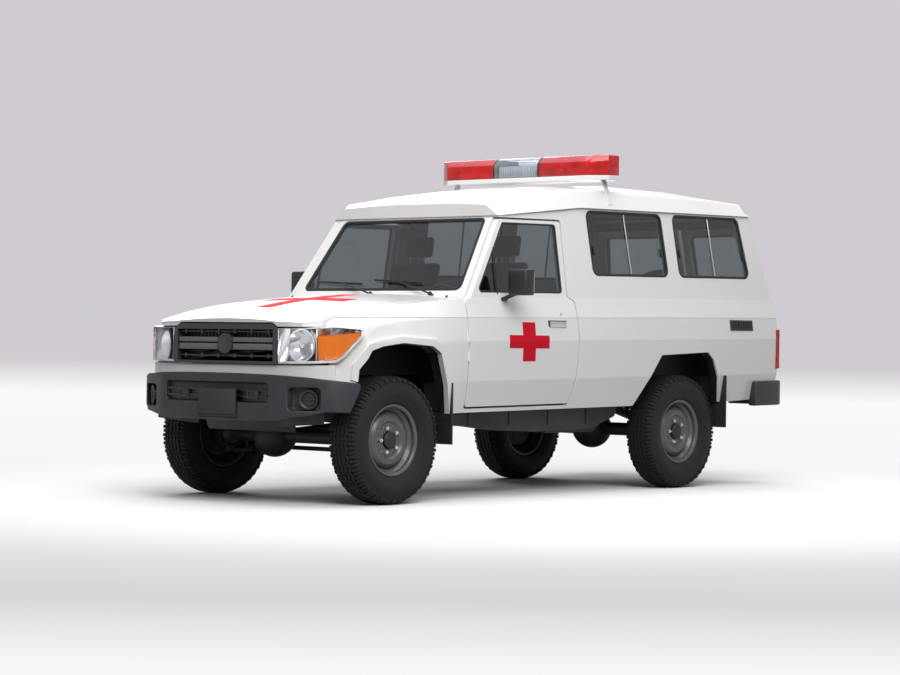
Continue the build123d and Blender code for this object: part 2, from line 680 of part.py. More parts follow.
def rear_door_outline(sign):
    """Outline of (y, z) pairs of a rear door, from its free edge to its hinge edge."""
    free = REAR_SPLIT_Y + sign * DOOR_GAP / 2
    levels = (REAR_DOOR_LOW_Z, 985.0, BELT_Z, REAR_TOP_Z)
    hinge_edge = [(sign * (post_y(z) - SEAM), z) for z in levels]
    free_top = (free + sign * SPLIT_FLARE, REAR_TOP_Z)
    return [(free, REAR_DOOR_LOW_Z), *hinge_edge, free_top, (free, REAR_KINK_Z)]


def rear_glass_outline(sign):
    low, high = REAR_GLASS_Z
    free = REAR_SPLIT_Y + sign * (DOOR_GAP / 2 + REAR_GLASS_MARGIN)
    return [(free, low), (sign * (side_y(low) - POST - REAR_GLASS_MARGIN), low),
            (sign * (side_y(high) - POST - REAR_GLASS_MARGIN), high), (free, high)]


def make_rear_door(sign):
    reach = REAR_FACE_X - WALL, REAR_FACE_X + 10 * WALL
    door = rear_slab(0, WALL) & from_front(rear_door_outline(sign), *reach)
    door = door - from_front(rear_glass_outline(sign), *reach, REAR_GLASS_CORNER)
    grooves = [
        hinge((*rear_axis(sign), lift(REAR_FACE_X, z)), (0, 0, 1.2), HINGE_RADIUS + PLAY)
        for z in REAR_HINGE_Z
    ]
    glass = rear_slab(GLASS_SET, GLASS) & from_front(rear_glass_outline(sign), *reach, REAR_GLASS_CORNER)
    return seated(door, *grooves), glass


for side, sign in (("left", 1), ("right", -1)):
    rear_door, rear_glass = make_rear_door(sign)
    if side == "right":
        carrier = rod((REAR_FACE_X + WALL / 2, SPARE_Y, SPARE_Z),
                      (SPARE_X - DISC_LINE[-1][1], SPARE_Y, SPARE_Z), CARRIER_RADIUS)
        rear_door = rear_door + seated(carrier, spare_rim)
    nodes["rear_door_" + side] = rear_door
    nodes["rear_glass_" + side] = rear_glass

# Front wings: station, then (half width, height) of bonnet edge, shoulder, crease, bulge, skirt and foot
WING_SECTIONS = (
    (WING_REAR_X, (690.0, 1258.0), (798.0, 1256.0), *reversed(SIDE_LINE[:4])),
    (FRONT_AXLE_X - 330, (690.0, 1240.0), (788.0, 1232.0), (846.0, 1122.0), (872.0, 985.0),
     (870.0, 735.0), (862.0, 512.0)),
    (FRONT_AXLE_X, (690.0, 1212.0), (782.0, 1196.0), (852.0, 1106.0), (884.0, 975.0),
     (882.0, 735.0), (876.0, 512.0)),
    (FRONT_AXLE_X + 310, (690.0, 1166.0), (772.0, 1142.0), (848.0, 1072.0), (870.0, 960.0),
     (866.0, 735.0), (862.0, 512.0)),
    (NOSE_X - 122, (640.0, 1112.0), (676.0, 1090.0), (715.0, 1064.0), (735.0, 960.0),
     (735.0, 735.0), (735.0, 512.0)),
)
FLARE_OUT = 13.0              # raised lip round the front arch
FLARE_GROWTH = 1.095
ARCH_FRONT = ((-480.0, 450.0), (-417.0, 724.0), (-389.0, 800.0), (-346.0, 915.0),
              (-264.0, 958.0), (8.0, 979.0), (185.0, 960.0), (276.0, 935.0),
              (354.0, 822.0), (360.0, 742.0), (560.0, 742.0), (560.0, 450.0))


def wing_solid(inset):
    faces = []
    for x, *points in WING_SECTIONS:
        inner_y = BONNET_HALF / 2
        corners = [(points[-1][0] - inset, points[-1][1])]
        corners += [(y - inset, z - inset) for y, z in reversed(points[:-1])]
        corners += [(inner_y, points[0][1] - inset), (inner_y, points[-1][1])]
        placed = [(x, y, lift(x, z)) for y, z in corners]
        faces.append(Face(Wire(Polyline(*placed, close=True).edges())))
    return loft(faces, ruled=True)


def from_nose(points):
    """Pairs given as distance behind the grille's face, turned into x."""
    return [(NOSE_X - back, other) for back, other in points]


LAMP_PLAN = from_nose(((2, 456), (24, 600), (60, 700), (142, 792), (280, 872),
                       (342, 850), (202, 700), (122, 600), (107, 456)))
LAMP_SIDE = from_nose(((-28, LAMP_LOW_Z), (150, LAMP_LOW_Z + 12), (188, LAMP_LOW_Z + 40),
                       (300, LAMP_HIGH_Z - 28), (300, LAMP_HIGH_Z - 10), (152, LAMP_HIGH_Z + 6),
                       (-28, LAMP_HIGH_Z - 6)))
lamp = from_above(LAMP_PLAN, LAMP_LOW_Z - 60, LAMP_HIGH_Z + 60) & from_side(LAMP_SIDE, 0, MIDDLE_TO_SIDE)


def make_wing():
    shell = wing_solid(0) - wing_solid(WING_SKIN)
    keep = block((WING_REAR_X, PANEL_X), (BONNET_HALF + SEAM, MIDDLE_TO_SIDE), (SILL_Z, 2 * BELT_Z))
    arch = [(FRONT_AXLE_X + x, z) for x, z in ARCH_FRONT]
    shell = (shell & keep) - from_side(arch, 0, MIDDLE_TO_SIDE) - lamp
    shell = crease(shell, wing_solid(-1) - wing_solid(CREASE_DEPTH))
    grown = [
        (FRONT_AXLE_X + x * FLARE_GROWTH, SILL_Z + (z - SILL_Z) * FLARE_GROWTH)
        for x, z in ARCH_FRONT[:-2]
    ]
    band = from_side(grown, 0, MIDDLE_TO_SIDE) - from_side(arch, 0, MIDDLE_TO_SIDE)
    flare = (wing_solid(-FLARE_OUT) - wing_solid(0)) & band & keep
    return joined([shell, *front_pins, flare - lamp])


def make_inner_wing():
    """Ledge over the wheel and apron beside the engine."""
    ledge = block((WING_REAR_X, LAMP_PLAN[5][0]), (APRON_Y, MIDDLE_TO_SIDE),
                  (LEDGE_Z, LEDGE_Z + APRON_THICKNESS))
    ledge = ledge & wing_solid(WING_SKIN)
    apron = block((FIREWALL_X, PANEL_X), (APRON_Y, APRON_Y + APRON_THICKNESS), (APRON_LOW_Z, LEDGE_Z))
    return ledge + apron


wing = make_wing()
inner_wing = seated(make_inner_wing(), wing)
nodes["front_wings"] = both_sides(wing)
nodes["inner_wings"] = both_sides(inner_wing)
nodes["headlamps"] = both_sides(lamp)

# Bonnet: station, half width, edge height, crown height
BONNET_SECTIONS = (
    (BONNET_REAR_X, BONNET_HALF, 1260.0, 1284.0),
    (FRONT_AXLE_X - 110, BONNET_HALF, 1222.0, 1250.0),
    (FRONT_AXLE_X + 340, BONNET_HALF, 1156.0, 1190.0),
    (NOSE_X - 12, BONNET_HALF, 1078.0, 1126.0),
)
BONNET_FRONT = from_nose(((122, BONNET_HALF), (47, 610), (12, 430)))
BONNET_LIP = 28.0             # thickness of the lip along the front edge
BONNET_LIP_DEPTH = 90.0


def bonnet_section(x, half, edge_z, crown_z, drop):
    ends = [(x, -half, lift(x, edge_z - drop)), (x, half, lift(x, edge_z - drop))]
    return ThreePointArc(ends[0], (x, 0, lift(x, crown_z - drop)), ends[1])


def bonnet_shell(depth):
    """Solid from the bonnet's outer face down to a depth."""
    faces = []
    for x, half, edge_z, crown_z in BONNET_SECTIONS:
        top = bonnet_section(x, half, edge_z, crown_z, 0)
        low = bonnet_section(x, half, edge_z, crown_z, depth)
        sides = [Line(top @ 1, low @ 1), Line(low @ 0, top @ 0)]
        faces.append(Face(Wire([*top.edges(), *sides[0].edges(), *low.edges(), *sides[1].edges()])))
    return loft(faces)


def bonnet_plan(inset):
    front = [(x - inset, y - inset * (y == BONNET_HALF)) for x, y in BONNET_FRONT]
    half = [(BONNET_REAR_X, BONNET_HALF - inset), *front]
    return from_above(half + [(x, -y) for x, y in reversed(half)], GRILLE_LOW_Z, 2 * BELT_Z)


def make_bonnet():
    grooves = [hinge((bonnet_axis[0], y, bonnet_axis[1]), (0, 1.2, 0), HINGE_RADIUS + PLAY)
               for y in (BONNET_HINGE_Y, -BONNET_HINGE_Y)]
    panel = bonnet_shell(BONNET_SKIN) & bonnet_plan(0)
    front_half = block((BONNET_SECTIONS[2][0], NOSE_X), (-MIDDLE_TO_SIDE, MIDDLE_TO_SIDE),
                       (GRILLE_LOW_Z, BELT_Z))
    lip = (bonnet_shell(BONNET_LIP_DEPTH) & bonnet_plan(0) & front_half) - bonnet_plan(BONNET_LIP)
    lamp_x = LAMP_PLAN[5][0]
    lamp_room = block((lamp_x, NOSE_X), (GRILLE_TOP_HALF, MIDDLE_TO_SIDE), (GRILLE_LOW_Z, LAMP_HIGH_Z + SEAM))
    wing_room = block((lamp_x - SEAM, NOSE_X), (BONNET_HALF - SEAM / 2, MIDDLE_TO_SIDE),
                      (GRILLE_LOW_Z, BELT_Z))
    grille_room = from_front(grille_outline(SEAM), NOSE_X - 2 * GRILLE_DEPTH, NOSE_X + GRILLE_DEPTH)
    lip = seated(lip, *both_sides(lamp_room), *both_sides(wing_room))
    return seated(panel + lip, grille_room, *grooves)


def grille_outline(grow):
    """Outline of (y, z) pairs with cut-off upper corners, each edge moved outwards."""
    half = [(GRILLE_HALF + grow, GRILLE_LOW_Z - grow), (GRILLE_HALF + grow, GRILLE_CORNER_Z + grow / 2),
            (GRILLE_TOP_HALF + grow / 2, GRILLE_HIGH_Z + grow)]
    return half + [(-y, z) for y, z in reversed(half)]


nodes["bonnet"] = make_bonnet()

# Front panel with its valance, grille and bumper
VALANCE_PLAN = from_nose(((12, 0), (12, 440), (37, 600), (77, 700), (152, 785),
                          (187, 760), (PANEL_BACK, 640), (PANEL_BACK, 0)))
VALANCE_LOW_Z = 748.0
PANEL_LOW_Z = 600.0
valance_half = from_above(VALANCE_PLAN, VALANCE_LOW_Z, GRILLE_LOW_Z - 2)
panel_body = block((PANEL_X, PANEL_X + PANEL_THICKNESS), (-APRON_Y, APRON_Y), (PANEL_LOW_Z, LEDGE_Z))
front_panel = joined([panel_body, *both_sides(valance_half)])
front_panel = seated(front_panel, *both_sides(lamp), *both_sides(wing))
nodes["front_panel"] = front_panel


GRILLE_BARS = (
    # low and high edge above the grille's foot, distance of the face behind the frame's
    (44.0, 44.0 + GRILLE_SLAT, 22.0),
    (84.0, 122.0, 8.0),
    (130.0, 160.0, 8.0),
    (190.0, 190.0 + GRILLE_SLAT, 22.0),
)
GRILLE_BLOCKS = 6


def make_grille():
    back_x = NOSE_X - GRILLE_DEPTH
    hole = [(y - GRILLE_FRAME * (1 if y > 0 else -1), z) for y, z in grille_outline(0)]
    hole = [(y, max(min(z, GRILLE_HIGH_Z - GRILLE_FRAME), GRILLE_LOW_Z + GRILLE_FRAME / 2)) for y, z in hole]
    frame = from_front(grille_outline(0), back_x, NOSE_X) - from_front(hole, back_x - 1, NOSE_X + 1)
    half = GRILLE_HALF - GRILLE_FRAME / 2
    pieces = [frame]
    for low, high, behind in GRILLE_BARS:
        pieces.append(block((back_x, NOSE_X - behind), (-half, half),
                            (GRILLE_LOW_Z + low, GRILLE_LOW_Z + high)))
    pitch = 2 * half / GRILLE_BLOCKS
    for low, high, behind in (GRILLE_BARS[0], GRILLE_BARS[-1]):
        for count in range(GRILLE_BLOCKS):
            y = (count + 0.5) * pitch - half
            pieces.append(block((back_x, NOSE_X - behind + GRILLE_SLAT / 2),
                                (y - GRILLE_SLAT, y + GRILLE_SLAT),
                                (GRILLE_LOW_Z + low - GRILLE_SLAT, GRILLE_LOW_Z + high + GRILLE_SLAT)))
    boss_z = lift(NOSE_X, GRILLE_LOW_Z + (GRILLE_BARS[1][0] + GRILLE_BARS[2][1]) / 2)
    pieces.append(rod((back_x, 0, boss_z), (NOSE_X - 2, 0, boss_z), GRILLE_BADGE))
    pieces.append(block((PANEL_X + PANEL_THICKNESS, back_x + 5), (-30, 30),
                        (GRILLE_LOW_Z + 40, GRILLE_HIGH_Z - 60)))
    return seated(joined(pieces), *both_sides(lamp))


nodes["grille"] = make_grille()

BUMPER_X = NOSE_X + BUMPER_OUT


def from_bumper(points):
    """Pairs given as distance behind the bumper's face, turned into x."""
    return [(BUMPER_X - back, other) for back, other in points]


BUMPER_PLAN = from_bumper(((0, 0), (6, 250), (33, 490), (105, 690), (195, 806), (295, 852), (380, 866)))
BUMPER_SIDE = from_bumper(((-55, 812), (30, 793), (187, 764), (395, 738), (380, 700), (310, 566), (187, 574),
                           (95, 544), (25, 514), (-55, 510)))
BUMPER_REACH = (480.0, 840.0)
MOUTH_HALF = 440.0
MOUTH_Z = (622.0, 742.0)
MOUTH_DEPTH = 50.0
FOG_Y = (568.0, 752.0)
FOG_Z = (580.0, 716.0)
FOG_DEPTH = 40.0
POCKET_CORNER = 26.0


def bumper_band(low, high, near, far):
    """Left half of the bumper's bow in plan, between two depths behind its face."""
    face = [(x - near, y - (near if y else 0)) for x, y in BUMPER_PLAN]
    back = [(x - far, max(0.0, y - far * (y > 0))) for x, y in reversed(BUMPER_PLAN)]
    return from_above(face + back, low, high)


def make_bumper():
    half = bumper_band(*BUMPER_REACH, 0, BUMPER_WALL) & from_side(BUMPER_SIDE, -1, MIDDLE_TO_SIDE)
    mouth = pocket((-MOUTH_HALF, MOUTH_HALF), MOUTH_Z, BUMPER_X - MOUTH_DEPTH)
    fog = bumper_band(*FOG_Z, -FOG_DEPTH, FOG_DEPTH) & pocket(FOG_Y, FOG_Z, NOSE_X - 4 * FOG_DEPTH)
    return seated(joined(both_sides(half)), mouth, *both_sides(fog))


def pocket(y, z, x_from):
    """Rounded rectangle seen from the front, reaching ahead of the bumper's face."""
    outline = ((y[0], z[0]), (y[1], z[0]), (y[1], z[1]), (y[0], z[1]))
    return from_front(outline, x_from, BUMPER_X + MOUTH_DEPTH, POCKET_CORNER)


bumper = make_bumper()
bumper = seated(bumper, front_panel, *both_sides(wing))
nodes["front_bumper"] = bumper

# Ladder frame: lower edge of a rail as (x, z)
RAIL_LINE = (
    (NOSE_X + 28, 585.0),
    (FIREWALL_X + 150, 570.0),
    (FIREWALL_X - 30, 505.0),
    (REAR_AXLE_X + 720, 505.0),
    (REAR_AXLE_X + 370, 560.0),
    (REAR_AXLE_X - 350, 560.0),
    (REAR_AXLE_X - 590, 535.0),
    (REAR_FACE_X + 10, 535.0),
)
CROSS_X = (PANEL_X - 60, 430.0, REAR_AXLE_X + 650, REAR_AXLE_X - 310, REAR_FACE_X + 40)
CROSS_HALF = 40.0
MOUNT_X = (FIREWALL_X - 200, 100.0, REAR_AXLE_X + 470, REAR_FACE_X + 350)


def rail_low(x):
    for (x_near, z_near), (x_far, z_far) in zip(RAIL_LINE, RAIL_LINE[1:]):
        if x >= x_far:
            break
    return z_near + (z_far - z_near) * (x - x_near) / (x_far - x_near)


def make_frame():
    upper = [(x, z + RAIL_HEIGHT) for x, z in reversed(RAIL_LINE)]
    rail = from_side(list(RAIL_LINE) + upper, RAIL_INNER_Y, RAIL_OUTER_Y)
    pieces = both_sides(rail)
    for x in CROSS_X:
        low = rail_low(x) + RAIL_HEIGHT / 6
        pieces.append(block((x - CROSS_HALF, x + CROSS_HALF), (-RAIL_INNER_Y, RAIL_INNER_Y),
                            (low, low + RAIL_HEIGHT / 1.5)))
    for sign in (1, -1):
        tower_x = (FRONT_AXLE_X - 70, FRONT_AXLE_X + 70)
        tower_y = (sign * (RAIL_OUTER_Y - 20), sign * (FRONT_COIL_Y + COIL_RADIUS + 10))
        tower = block(tower_x, tower_y, (COIL_TOP_Z, COIL_TOP_Z + 15))
        web = block(tower_x, (sign * RAIL_INNER_Y, sign * (RAIL_OUTER_Y + 5)),
                    (rail_low(FRONT_AXLE_X) + RAIL_HEIGHT / 2, COIL_TOP_Z + 15))
        pieces += [tower, web]
        for x in MOUNT_X:
            middle = sign * (RAIL_INNER_Y + RAIL_OUTER_Y) / 2
            pieces.append(rod((x, middle, lift(x, rail_low(x) + RAIL_HEIGHT / 2)),
                              (x, middle, lift(x, FLOOR_LOW_Z + FLOOR_THICKNESS / 2)), 34.0))
        eye_x = (REAR_AXLE_X + LEAF_HALF_LENGTH, REAR_AXLE_X - LEAF_HALF_LENGTH)
        for x in eye_x:
            lug_y = (sign * (RAIL_OUTER_Y - 20), sign * (LEAF_Y + LEAF_WIDTH / 2))
            pieces.append(block((x - 30, x + 30), lug_y, (rail_low(x) + 10, rail_low(x) + 60)))
    return seated(joined(pieces), floor, bumper, front_panel)


frame = make_frame()
TOW_X = REAR_FACE_X + 10
tow_hook = joined([
    block((TOW_X - 130, TOW_X + 10), (-60, 60), (560.0, 560.0 + TOW_PLATE)),
    block((TOW_X - 15, TOW_X + 10), (-90, 90), (540.0, 650.0)),
])
tow_bore = rod((TOW_X - 95, 0, 500.0), (TOW_X - 95, 0, 800.0), TOW_PIN_RADIUS)
frame = joined([frame, seated(tow_hook, floor)]) - tow_bore
nodes["ladder_frame"] = frame

# Springs: front coils, rear leaves, seated on axle and frame
def coil(y):
    low = AXLE_Z + AXLE_TUBE_RADIUS / 2
    high = lift(FRONT_AXLE_X, COIL_TOP_Z) + 5
    core = rod((FRONT_AXLE_X, y, low), (FRONT_AXLE_X, y, high), COIL_RADIUS - COIL_WIRE)
    turns = []
    height = low + COIL_PITCH
    while height < high - COIL_PITCH:
        turns.append(rod((FRONT_AXLE_X, y, height), (FRONT_AXLE_X, y, height + COIL_PITCH / 2), COIL_RADIUS))
        height += COIL_PITCH
    return seated(joined([core, *turns]), frame, front_axle)


def leaf(sign):
    eye_z = rail_low(REAR_AXLE_X - LEAF_HALF_LENGTH) + 20
    seat_z = AXLE_Z + AXLE_TUBE_RADIUS - 20
    near, far = REAR_AXLE_X + LEAF_HALF_LENGTH, REAR_AXLE_X - LEAF_HALF_LENGTH
    outline = ((near, eye_z), (REAR_AXLE_X + 120, seat_z), (REAR_AXLE_X - 120, seat_z), (far, eye_z),
               (far, eye_z + 14), (REAR_AXLE_X - 120, seat_z + 60), (REAR_AXLE_X + 120, seat_z + 60),
               (near, eye_z + 14))
    ends = (sign * (LEAF_Y - LEAF_WIDTH / 2), sign * (LEAF_Y + LEAF_WIDTH / 2))
    return seated(from_side(outline, *ends), frame, rear_axle)


nodes["springs"] = [coil(FRONT_COIL_Y), coil(-FRONT_COIL_Y), leaf(1), leaf(-1)]

# Engine, gearbox, shafts, exhaust and tank
ENGINE_X = (FIREWALL_X + 180, PANEL_X - 180)
ENGINE_HALF = 260.0
ENGINE_Z = (560.0, 1030.0)
GEARBOX_X = (470.0, ENGINE_X[0])
GEARBOX_HALF = 150.0
GEARBOX_Z = (450.0, 680.0)
ENGINE_MOUNT_X = (ENGINE_X[0] + 170, ENGINE_X[0] + 270)
ENGINE_MOUNT_Z = (600.0, 650.0)
engine = joined([
    block(ENGINE_X, (-ENGINE_HALF, ENGINE_HALF), ENGINE_Z),
    block(GEARBOX_X, (-GEARBOX_HALF, GEARBOX_HALF), GEARBOX_Z),
    block(ENGINE_MOUNT_X, (-RAIL_INNER_Y, RAIL_INNER_Y), ENGINE_MOUNT_Z),
])
engine = seated(engine, frame, front_axle)
nodes["engine_and_gearbox"] = engine
rear_shaft = rod((GEARBOX_X[0] + 20, 0, 560.0), (REAR_AXLE_X + DIFF_RADIUS / 2, 0, AXLE_Z), SHAFT_RADIUS)
front_shaft = rod((GEARBOX_X[0] + 200, 0.6 * FRONT_DIFF_Y, 480.0),
                  (FRONT_AXLE_X - DIFF_RADIUS / 2, FRONT_DIFF_Y, AXLE_Z), SHAFT_RADIUS)
nodes["propeller_shafts"] = [
    seated(rear_shaft, engine, rear_axle, frame), seated(front_shaft, engine, front_axle, frame)
]
EXHAUST_Y = 560.0
EXHAUST_Z = 478.0
exhaust = joined([
    rod((800.0, EXHAUST_Y, EXHAUST_Z), (100.0, EXHAUST_Y, EXHAUST_Z), 30.0),
    rod((100.0, EXHAUST_Y, EXHAUST_Z), (-420.0, EXHAUST_Y, EXHAUST_Z), 85.0),
    block((-200.0, -170.0), (EXHAUST_Y - 20, EXHAUST_Y + 20), (EXHAUST_Z, FLOOR_TOP_Z)),
    rod((800.0, EXHAUST_Y, EXHAUST_Z), (800.0, GEARBOX_HALF - 20, EXHAUST_Z), 30.0),
])
nodes["exhaust"] = seated(exhaust, floor, engine, frame)
TANK_X = (REAR_FACE_X + 150, CROSS_X[3] - CROSS_HALF - 20)
TANK_HALF = 290.0
TANK_LOW_Z = 480.0
nodes["fuel_tank"] = seated(block(TANK_X, (-TANK_HALF, TANK_HALF), (TANK_LOW_Z, FLOOR_LOW_Z)), frame)

# Rear bumper corners, tail lamps and mud flaps
FLAP_HALF = 6.0
FLAPS = (
    # x, inner y, outer y, low z, high z
    (FRONT_AXLE_X - 468, 640.0, 872.0, 350.0, 730.0),
    (REAR_AXLE_X - 426, 590.0, 858.0, 365.0, 730.0),
)
REAR_ARM_SHARE = 25 / 54       # of the side between the rear face and the flap
rear_arm = REAR_ARM_SHARE * (FLAPS[1][0] - FLAP_HALF - REAR_FACE_X)
REAR_BUMPER_PLAN = ((rear_arm, 800), (rear_arm, 868), (30, 872), (-50, 840), (-90, 770), (-90, 420), (10, 420),
                    (10, 770), (50, 800))
REAR_BUMPER_Z = (508.0, 684.0)
corner = from_above([(REAR_FACE_X + x, y) for x, y in REAR_BUMPER_PLAN], *REAR_BUMPER_Z)
nodes["rear_bumpers"] = both_sides(seated(corner, body_side, floor, frame))
TAIL_LAMP_Y = (735.0, 853.0)
TAIL_LAMP_Z = (770.0, 1050.0)
tail_lamp = block((REAR_FACE_X - 14, REAR_FACE_X + 22), TAIL_LAMP_Y, TAIL_LAMP_Z)
nodes["tail_lamps"] = both_sides(seated(tail_lamp, body_side, *rear_pins))
flaps = [
    block((x - FLAP_HALF, x + FLAP_HALF), (inner, outer), (low, high)) for x, inner, outer, low, high in FLAPS
]
flaps = [seated(flap, wing, inner_wing, body_side, floor) for flap in flaps]
nodes["mud_flaps"] = [half for flap in flaps for half in both_sides(flap)]

# Light bar: pointed ends, lenses with a sloping upper face, two strap feet


def bar_slice(y_from, y_to, z_from, z_to):
    """Part of the bar's pointed outline between two y limits and two heights."""
    wide, tip = BAR_DEPTH / 2, BAR_TIP_DEPTH / 2
    outline = [(wide, BAR_HALF - BAR_TAPER), (tip, BAR_HALF), (-tip, BAR_HALF), (-wide, BAR_HALF - BAR_TAPER)]
    outline += [(x, -y) for x, y in reversed(outline)]
    whole = from_above([(BAR_X + x, y) for x, y in outline], z_from, z_to)
    return whole & block((BAR_X - wide, BAR_X + wide), (y_from, y_to), (z_from, z_to))


def make_lens(y_from, y_to):
    lens = bar_slice(y_from, y_to, lens_low, BAR_HIGH_Z)
    wide, top = BAR_DEPTH / 2, BAR_HIGH_Z
    for sign in (1, -1):
        wedge = ((BAR_X + sign * (wide + 1), top + 1), (BAR_X + sign * (wide + 1), top - BAR_SLOPE),
                 (BAR_X + sign * (wide - BAR_SLOPE), top + 1))
        lens = lens - from_side(wedge, -MIDDLE_TO_SIDE, MIDDLE_TO_SIDE)
    return lens


lens_low = BAR_LOW_Z + BAR_BASE
base = bar_slice(-BAR_HALF, BAR_HALF, BAR_LOW_Z, lens_low)
feet = []
for sign in (1, -1):
    strap = ((BAR_FOOT_Y - FOOT_THICKNESS, BAR_LOW_Z + 5), (BAR_FOOT_Y, BAR_LOW_Z + 5),
             (BAR_FOOT_Y + FOOT_SPREAD, BAR_LOW_Z - FOOT_DROP),
             (BAR_FOOT_Y + FOOT_SPREAD - FOOT_THICKNESS, BAR_LOW_Z - FOOT_DROP))
    feet.append(from_front([(sign * y, z) for y, z in strap], BAR_X - FOOT_WIDTH / 2, BAR_X + FOOT_WIDTH / 2))
nodes["lightbar_base"] = seated(joined([base, *feet]), roof)
lens_spans = ((BAR_MIDDLE_HALF + BAR_GAP, BAR_HALF), (-BAR_MIDDLE_HALF, BAR_MIDDLE_HALF),
              (-BAR_HALF, -BAR_MIDDLE_HALF - BAR_GAP))
nodes["lightbar_lenses"] = [make_lens(y_from, y_to) for y_from, y_to in lens_spans]

# Wipers, seats, dashboard and stretcher
WIPER_Y = (470.0, -40.0)
wipers = []
for y in WIPER_Y:
    foot = (SCREEN_FOOT_X + 15, y, lift(SCREEN_FOOT_X, BELT_Z - 20))
    head = (SCREEN_FOOT_X + 15, y, lift(SCREEN_FOOT_X, BELT_Z + 32))
    blade = (screen_x(SCREEN_LOW_Z + 30) + 30, y - 480, lift(SCREEN_FOOT_X, SCREEN_LOW_Z + 30))
    wipers.append(seated(joined([rod(foot, head, 11.0), rod(head, blade, 7.0)]), screen_frame))
nodes["wipers"] = wipers
SEAT_Y = 380.0
SEAT_X = (330.0, 800.0)
SEAT_HALF = 230.0
BACK_LINE = ((330.0, 200.0), (480.0, 200.0), (345.0, 790.0), (235.0, 790.0))
HEADREST_LINE = ((238.0, 780.0), (320.0, 780.0), (292.0, 960.0), (212.0, 960.0))
HEADREST_HALF = 130.0
seat = joined([
    block(SEAT_X, (SEAT_Y - SEAT_HALF, SEAT_Y + SEAT_HALF), (FLOOR_TOP_Z, FLOOR_TOP_Z + 250)),
    from_side([(x, FLOOR_TOP_Z + z) for x, z in BACK_LINE], SEAT_Y - SEAT_HALF + 10, SEAT_Y + SEAT_HALF - 10),
    from_side([(x, FLOOR_TOP_Z + z) for x, z in HEADREST_LINE],
              SEAT_Y - HEADREST_HALF, SEAT_Y + HEADREST_HALF),
])
nodes["front_seats"] = both_sides(seat)
dash = block((900.0, FIREWALL_X - FIREWALL_THICKNESS), (-700.0, 700.0), (960.0, COWL_LOW_Z - 10))
WHEEL_CENTRE = (800.0, SEAT_Y, 1190.0)
ring = Pos(*WHEEL_CENTRE) * Rot(0, -60, 0) * Torus(185.0, 15.0)
column = rod((960.0, SEAT_Y, 1098.0), WHEEL_CENTRE, 28.0)
spokes = Pos(*WHEEL_CENTRE) * Rot(0, -60, 0) * Box(30, 370, 14)
nodes["dashboard"] = joined([dash, column, spokes, ring])
STRETCHER_INSET = 130.0
STRETCHER_LENGTH = 1940.0
STRETCHER_X = (REAR_FACE_X + STRETCHER_INSET, REAR_FACE_X + STRETCHER_INSET + STRETCHER_LENGTH)
STRETCHER_Y = (40.0, 520.0)
BED_Z = (FLOOR_TOP_Z + 300, FLOOR_TOP_Z + 330)
MATTRESS = 70.0
MATTRESS_MARGIN = 20.0
leg_x = (STRETCHER_X[0] + 200, STRETCHER_X[1] - 260)
legs = [block((x, x + 60), STRETCHER_Y, (FLOOR_TOP_Z, BED_Z[0])) for x in leg_x]
bed = block(STRETCHER_X, STRETCHER_Y, BED_Z)
nodes["stretcher"] = joined([bed, *legs])
nodes["stretcher_mattress"] = block((STRETCHER_X[0] + MATTRESS_MARGIN, STRETCHER_X[1] - MATTRESS_MARGIN),
                                    (STRETCHER_Y[0] + MATTRESS_MARGIN, STRETCHER_Y[1] - MATTRESS_MARGIN),
                                    (BED_Z[1], BED_Z[1] + MATTRESS))

os.makedirs("parts", exist_ok=True)
for name, shape in nodes.items():
    whole = Compound(children=list(shape)) if isinstance(shape, list) else shape
    export_step(whole, "parts/" + name + ".step")
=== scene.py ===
# %% [markdown]
# # A four-wheel-drive ambulance, dressed for a studio picture
# The solid model already holds every panel, wheel and joint at full size. This lesson gives each of those
# pieces its finish and models what the solids leave plain: seals, lamps, tyres, trim, seats and markings.

# %% Load the solid model and keep its box
import json
from math import cos, pi, radians, sin

import bmesh
import bpy
from mathutils import Matrix, Vector


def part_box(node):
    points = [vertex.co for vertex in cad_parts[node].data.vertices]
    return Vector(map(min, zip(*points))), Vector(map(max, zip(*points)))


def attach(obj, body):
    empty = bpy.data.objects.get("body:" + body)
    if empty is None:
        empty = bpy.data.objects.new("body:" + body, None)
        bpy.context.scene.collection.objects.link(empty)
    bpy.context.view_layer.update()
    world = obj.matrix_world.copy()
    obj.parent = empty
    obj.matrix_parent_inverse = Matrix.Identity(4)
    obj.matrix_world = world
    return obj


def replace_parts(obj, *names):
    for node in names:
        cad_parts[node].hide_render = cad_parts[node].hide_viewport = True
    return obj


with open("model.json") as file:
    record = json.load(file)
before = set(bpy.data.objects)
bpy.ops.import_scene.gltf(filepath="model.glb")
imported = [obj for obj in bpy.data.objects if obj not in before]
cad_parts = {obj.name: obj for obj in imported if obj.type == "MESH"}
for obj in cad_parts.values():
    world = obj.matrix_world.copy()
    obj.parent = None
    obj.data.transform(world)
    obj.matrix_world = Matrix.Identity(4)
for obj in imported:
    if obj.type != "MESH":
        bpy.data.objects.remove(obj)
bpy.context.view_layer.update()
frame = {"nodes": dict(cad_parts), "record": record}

nodes = frame["nodes"]
print("solids loaded:", len(nodes))

# %% [markdown]
# ## Small tools
# Operators act on whatever is selected, so every step first selects one object and nothing else. Faces are then
# picked by a test on their place or normal, as one would pick them by eye.


# %% Select, edit and pick
def work_on(piece):
    """One object selected and active, in object mode."""
    bpy.ops.object.select_all(action="DESELECT")
    piece.select_set(True)
    bpy.context.view_layer.objects.active = piece


def edit(piece, action="SELECT"):
    """Edit mode on one object, with everything or nothing selected."""
    work_on(piece)
    bpy.ops.object.mode_set(mode="EDIT")
    bpy.ops.mesh.select_mode(type="VERT")
    bpy.ops.mesh.select_all(action=action)


def leave():
    bpy.ops.object.mode_set(mode="OBJECT")


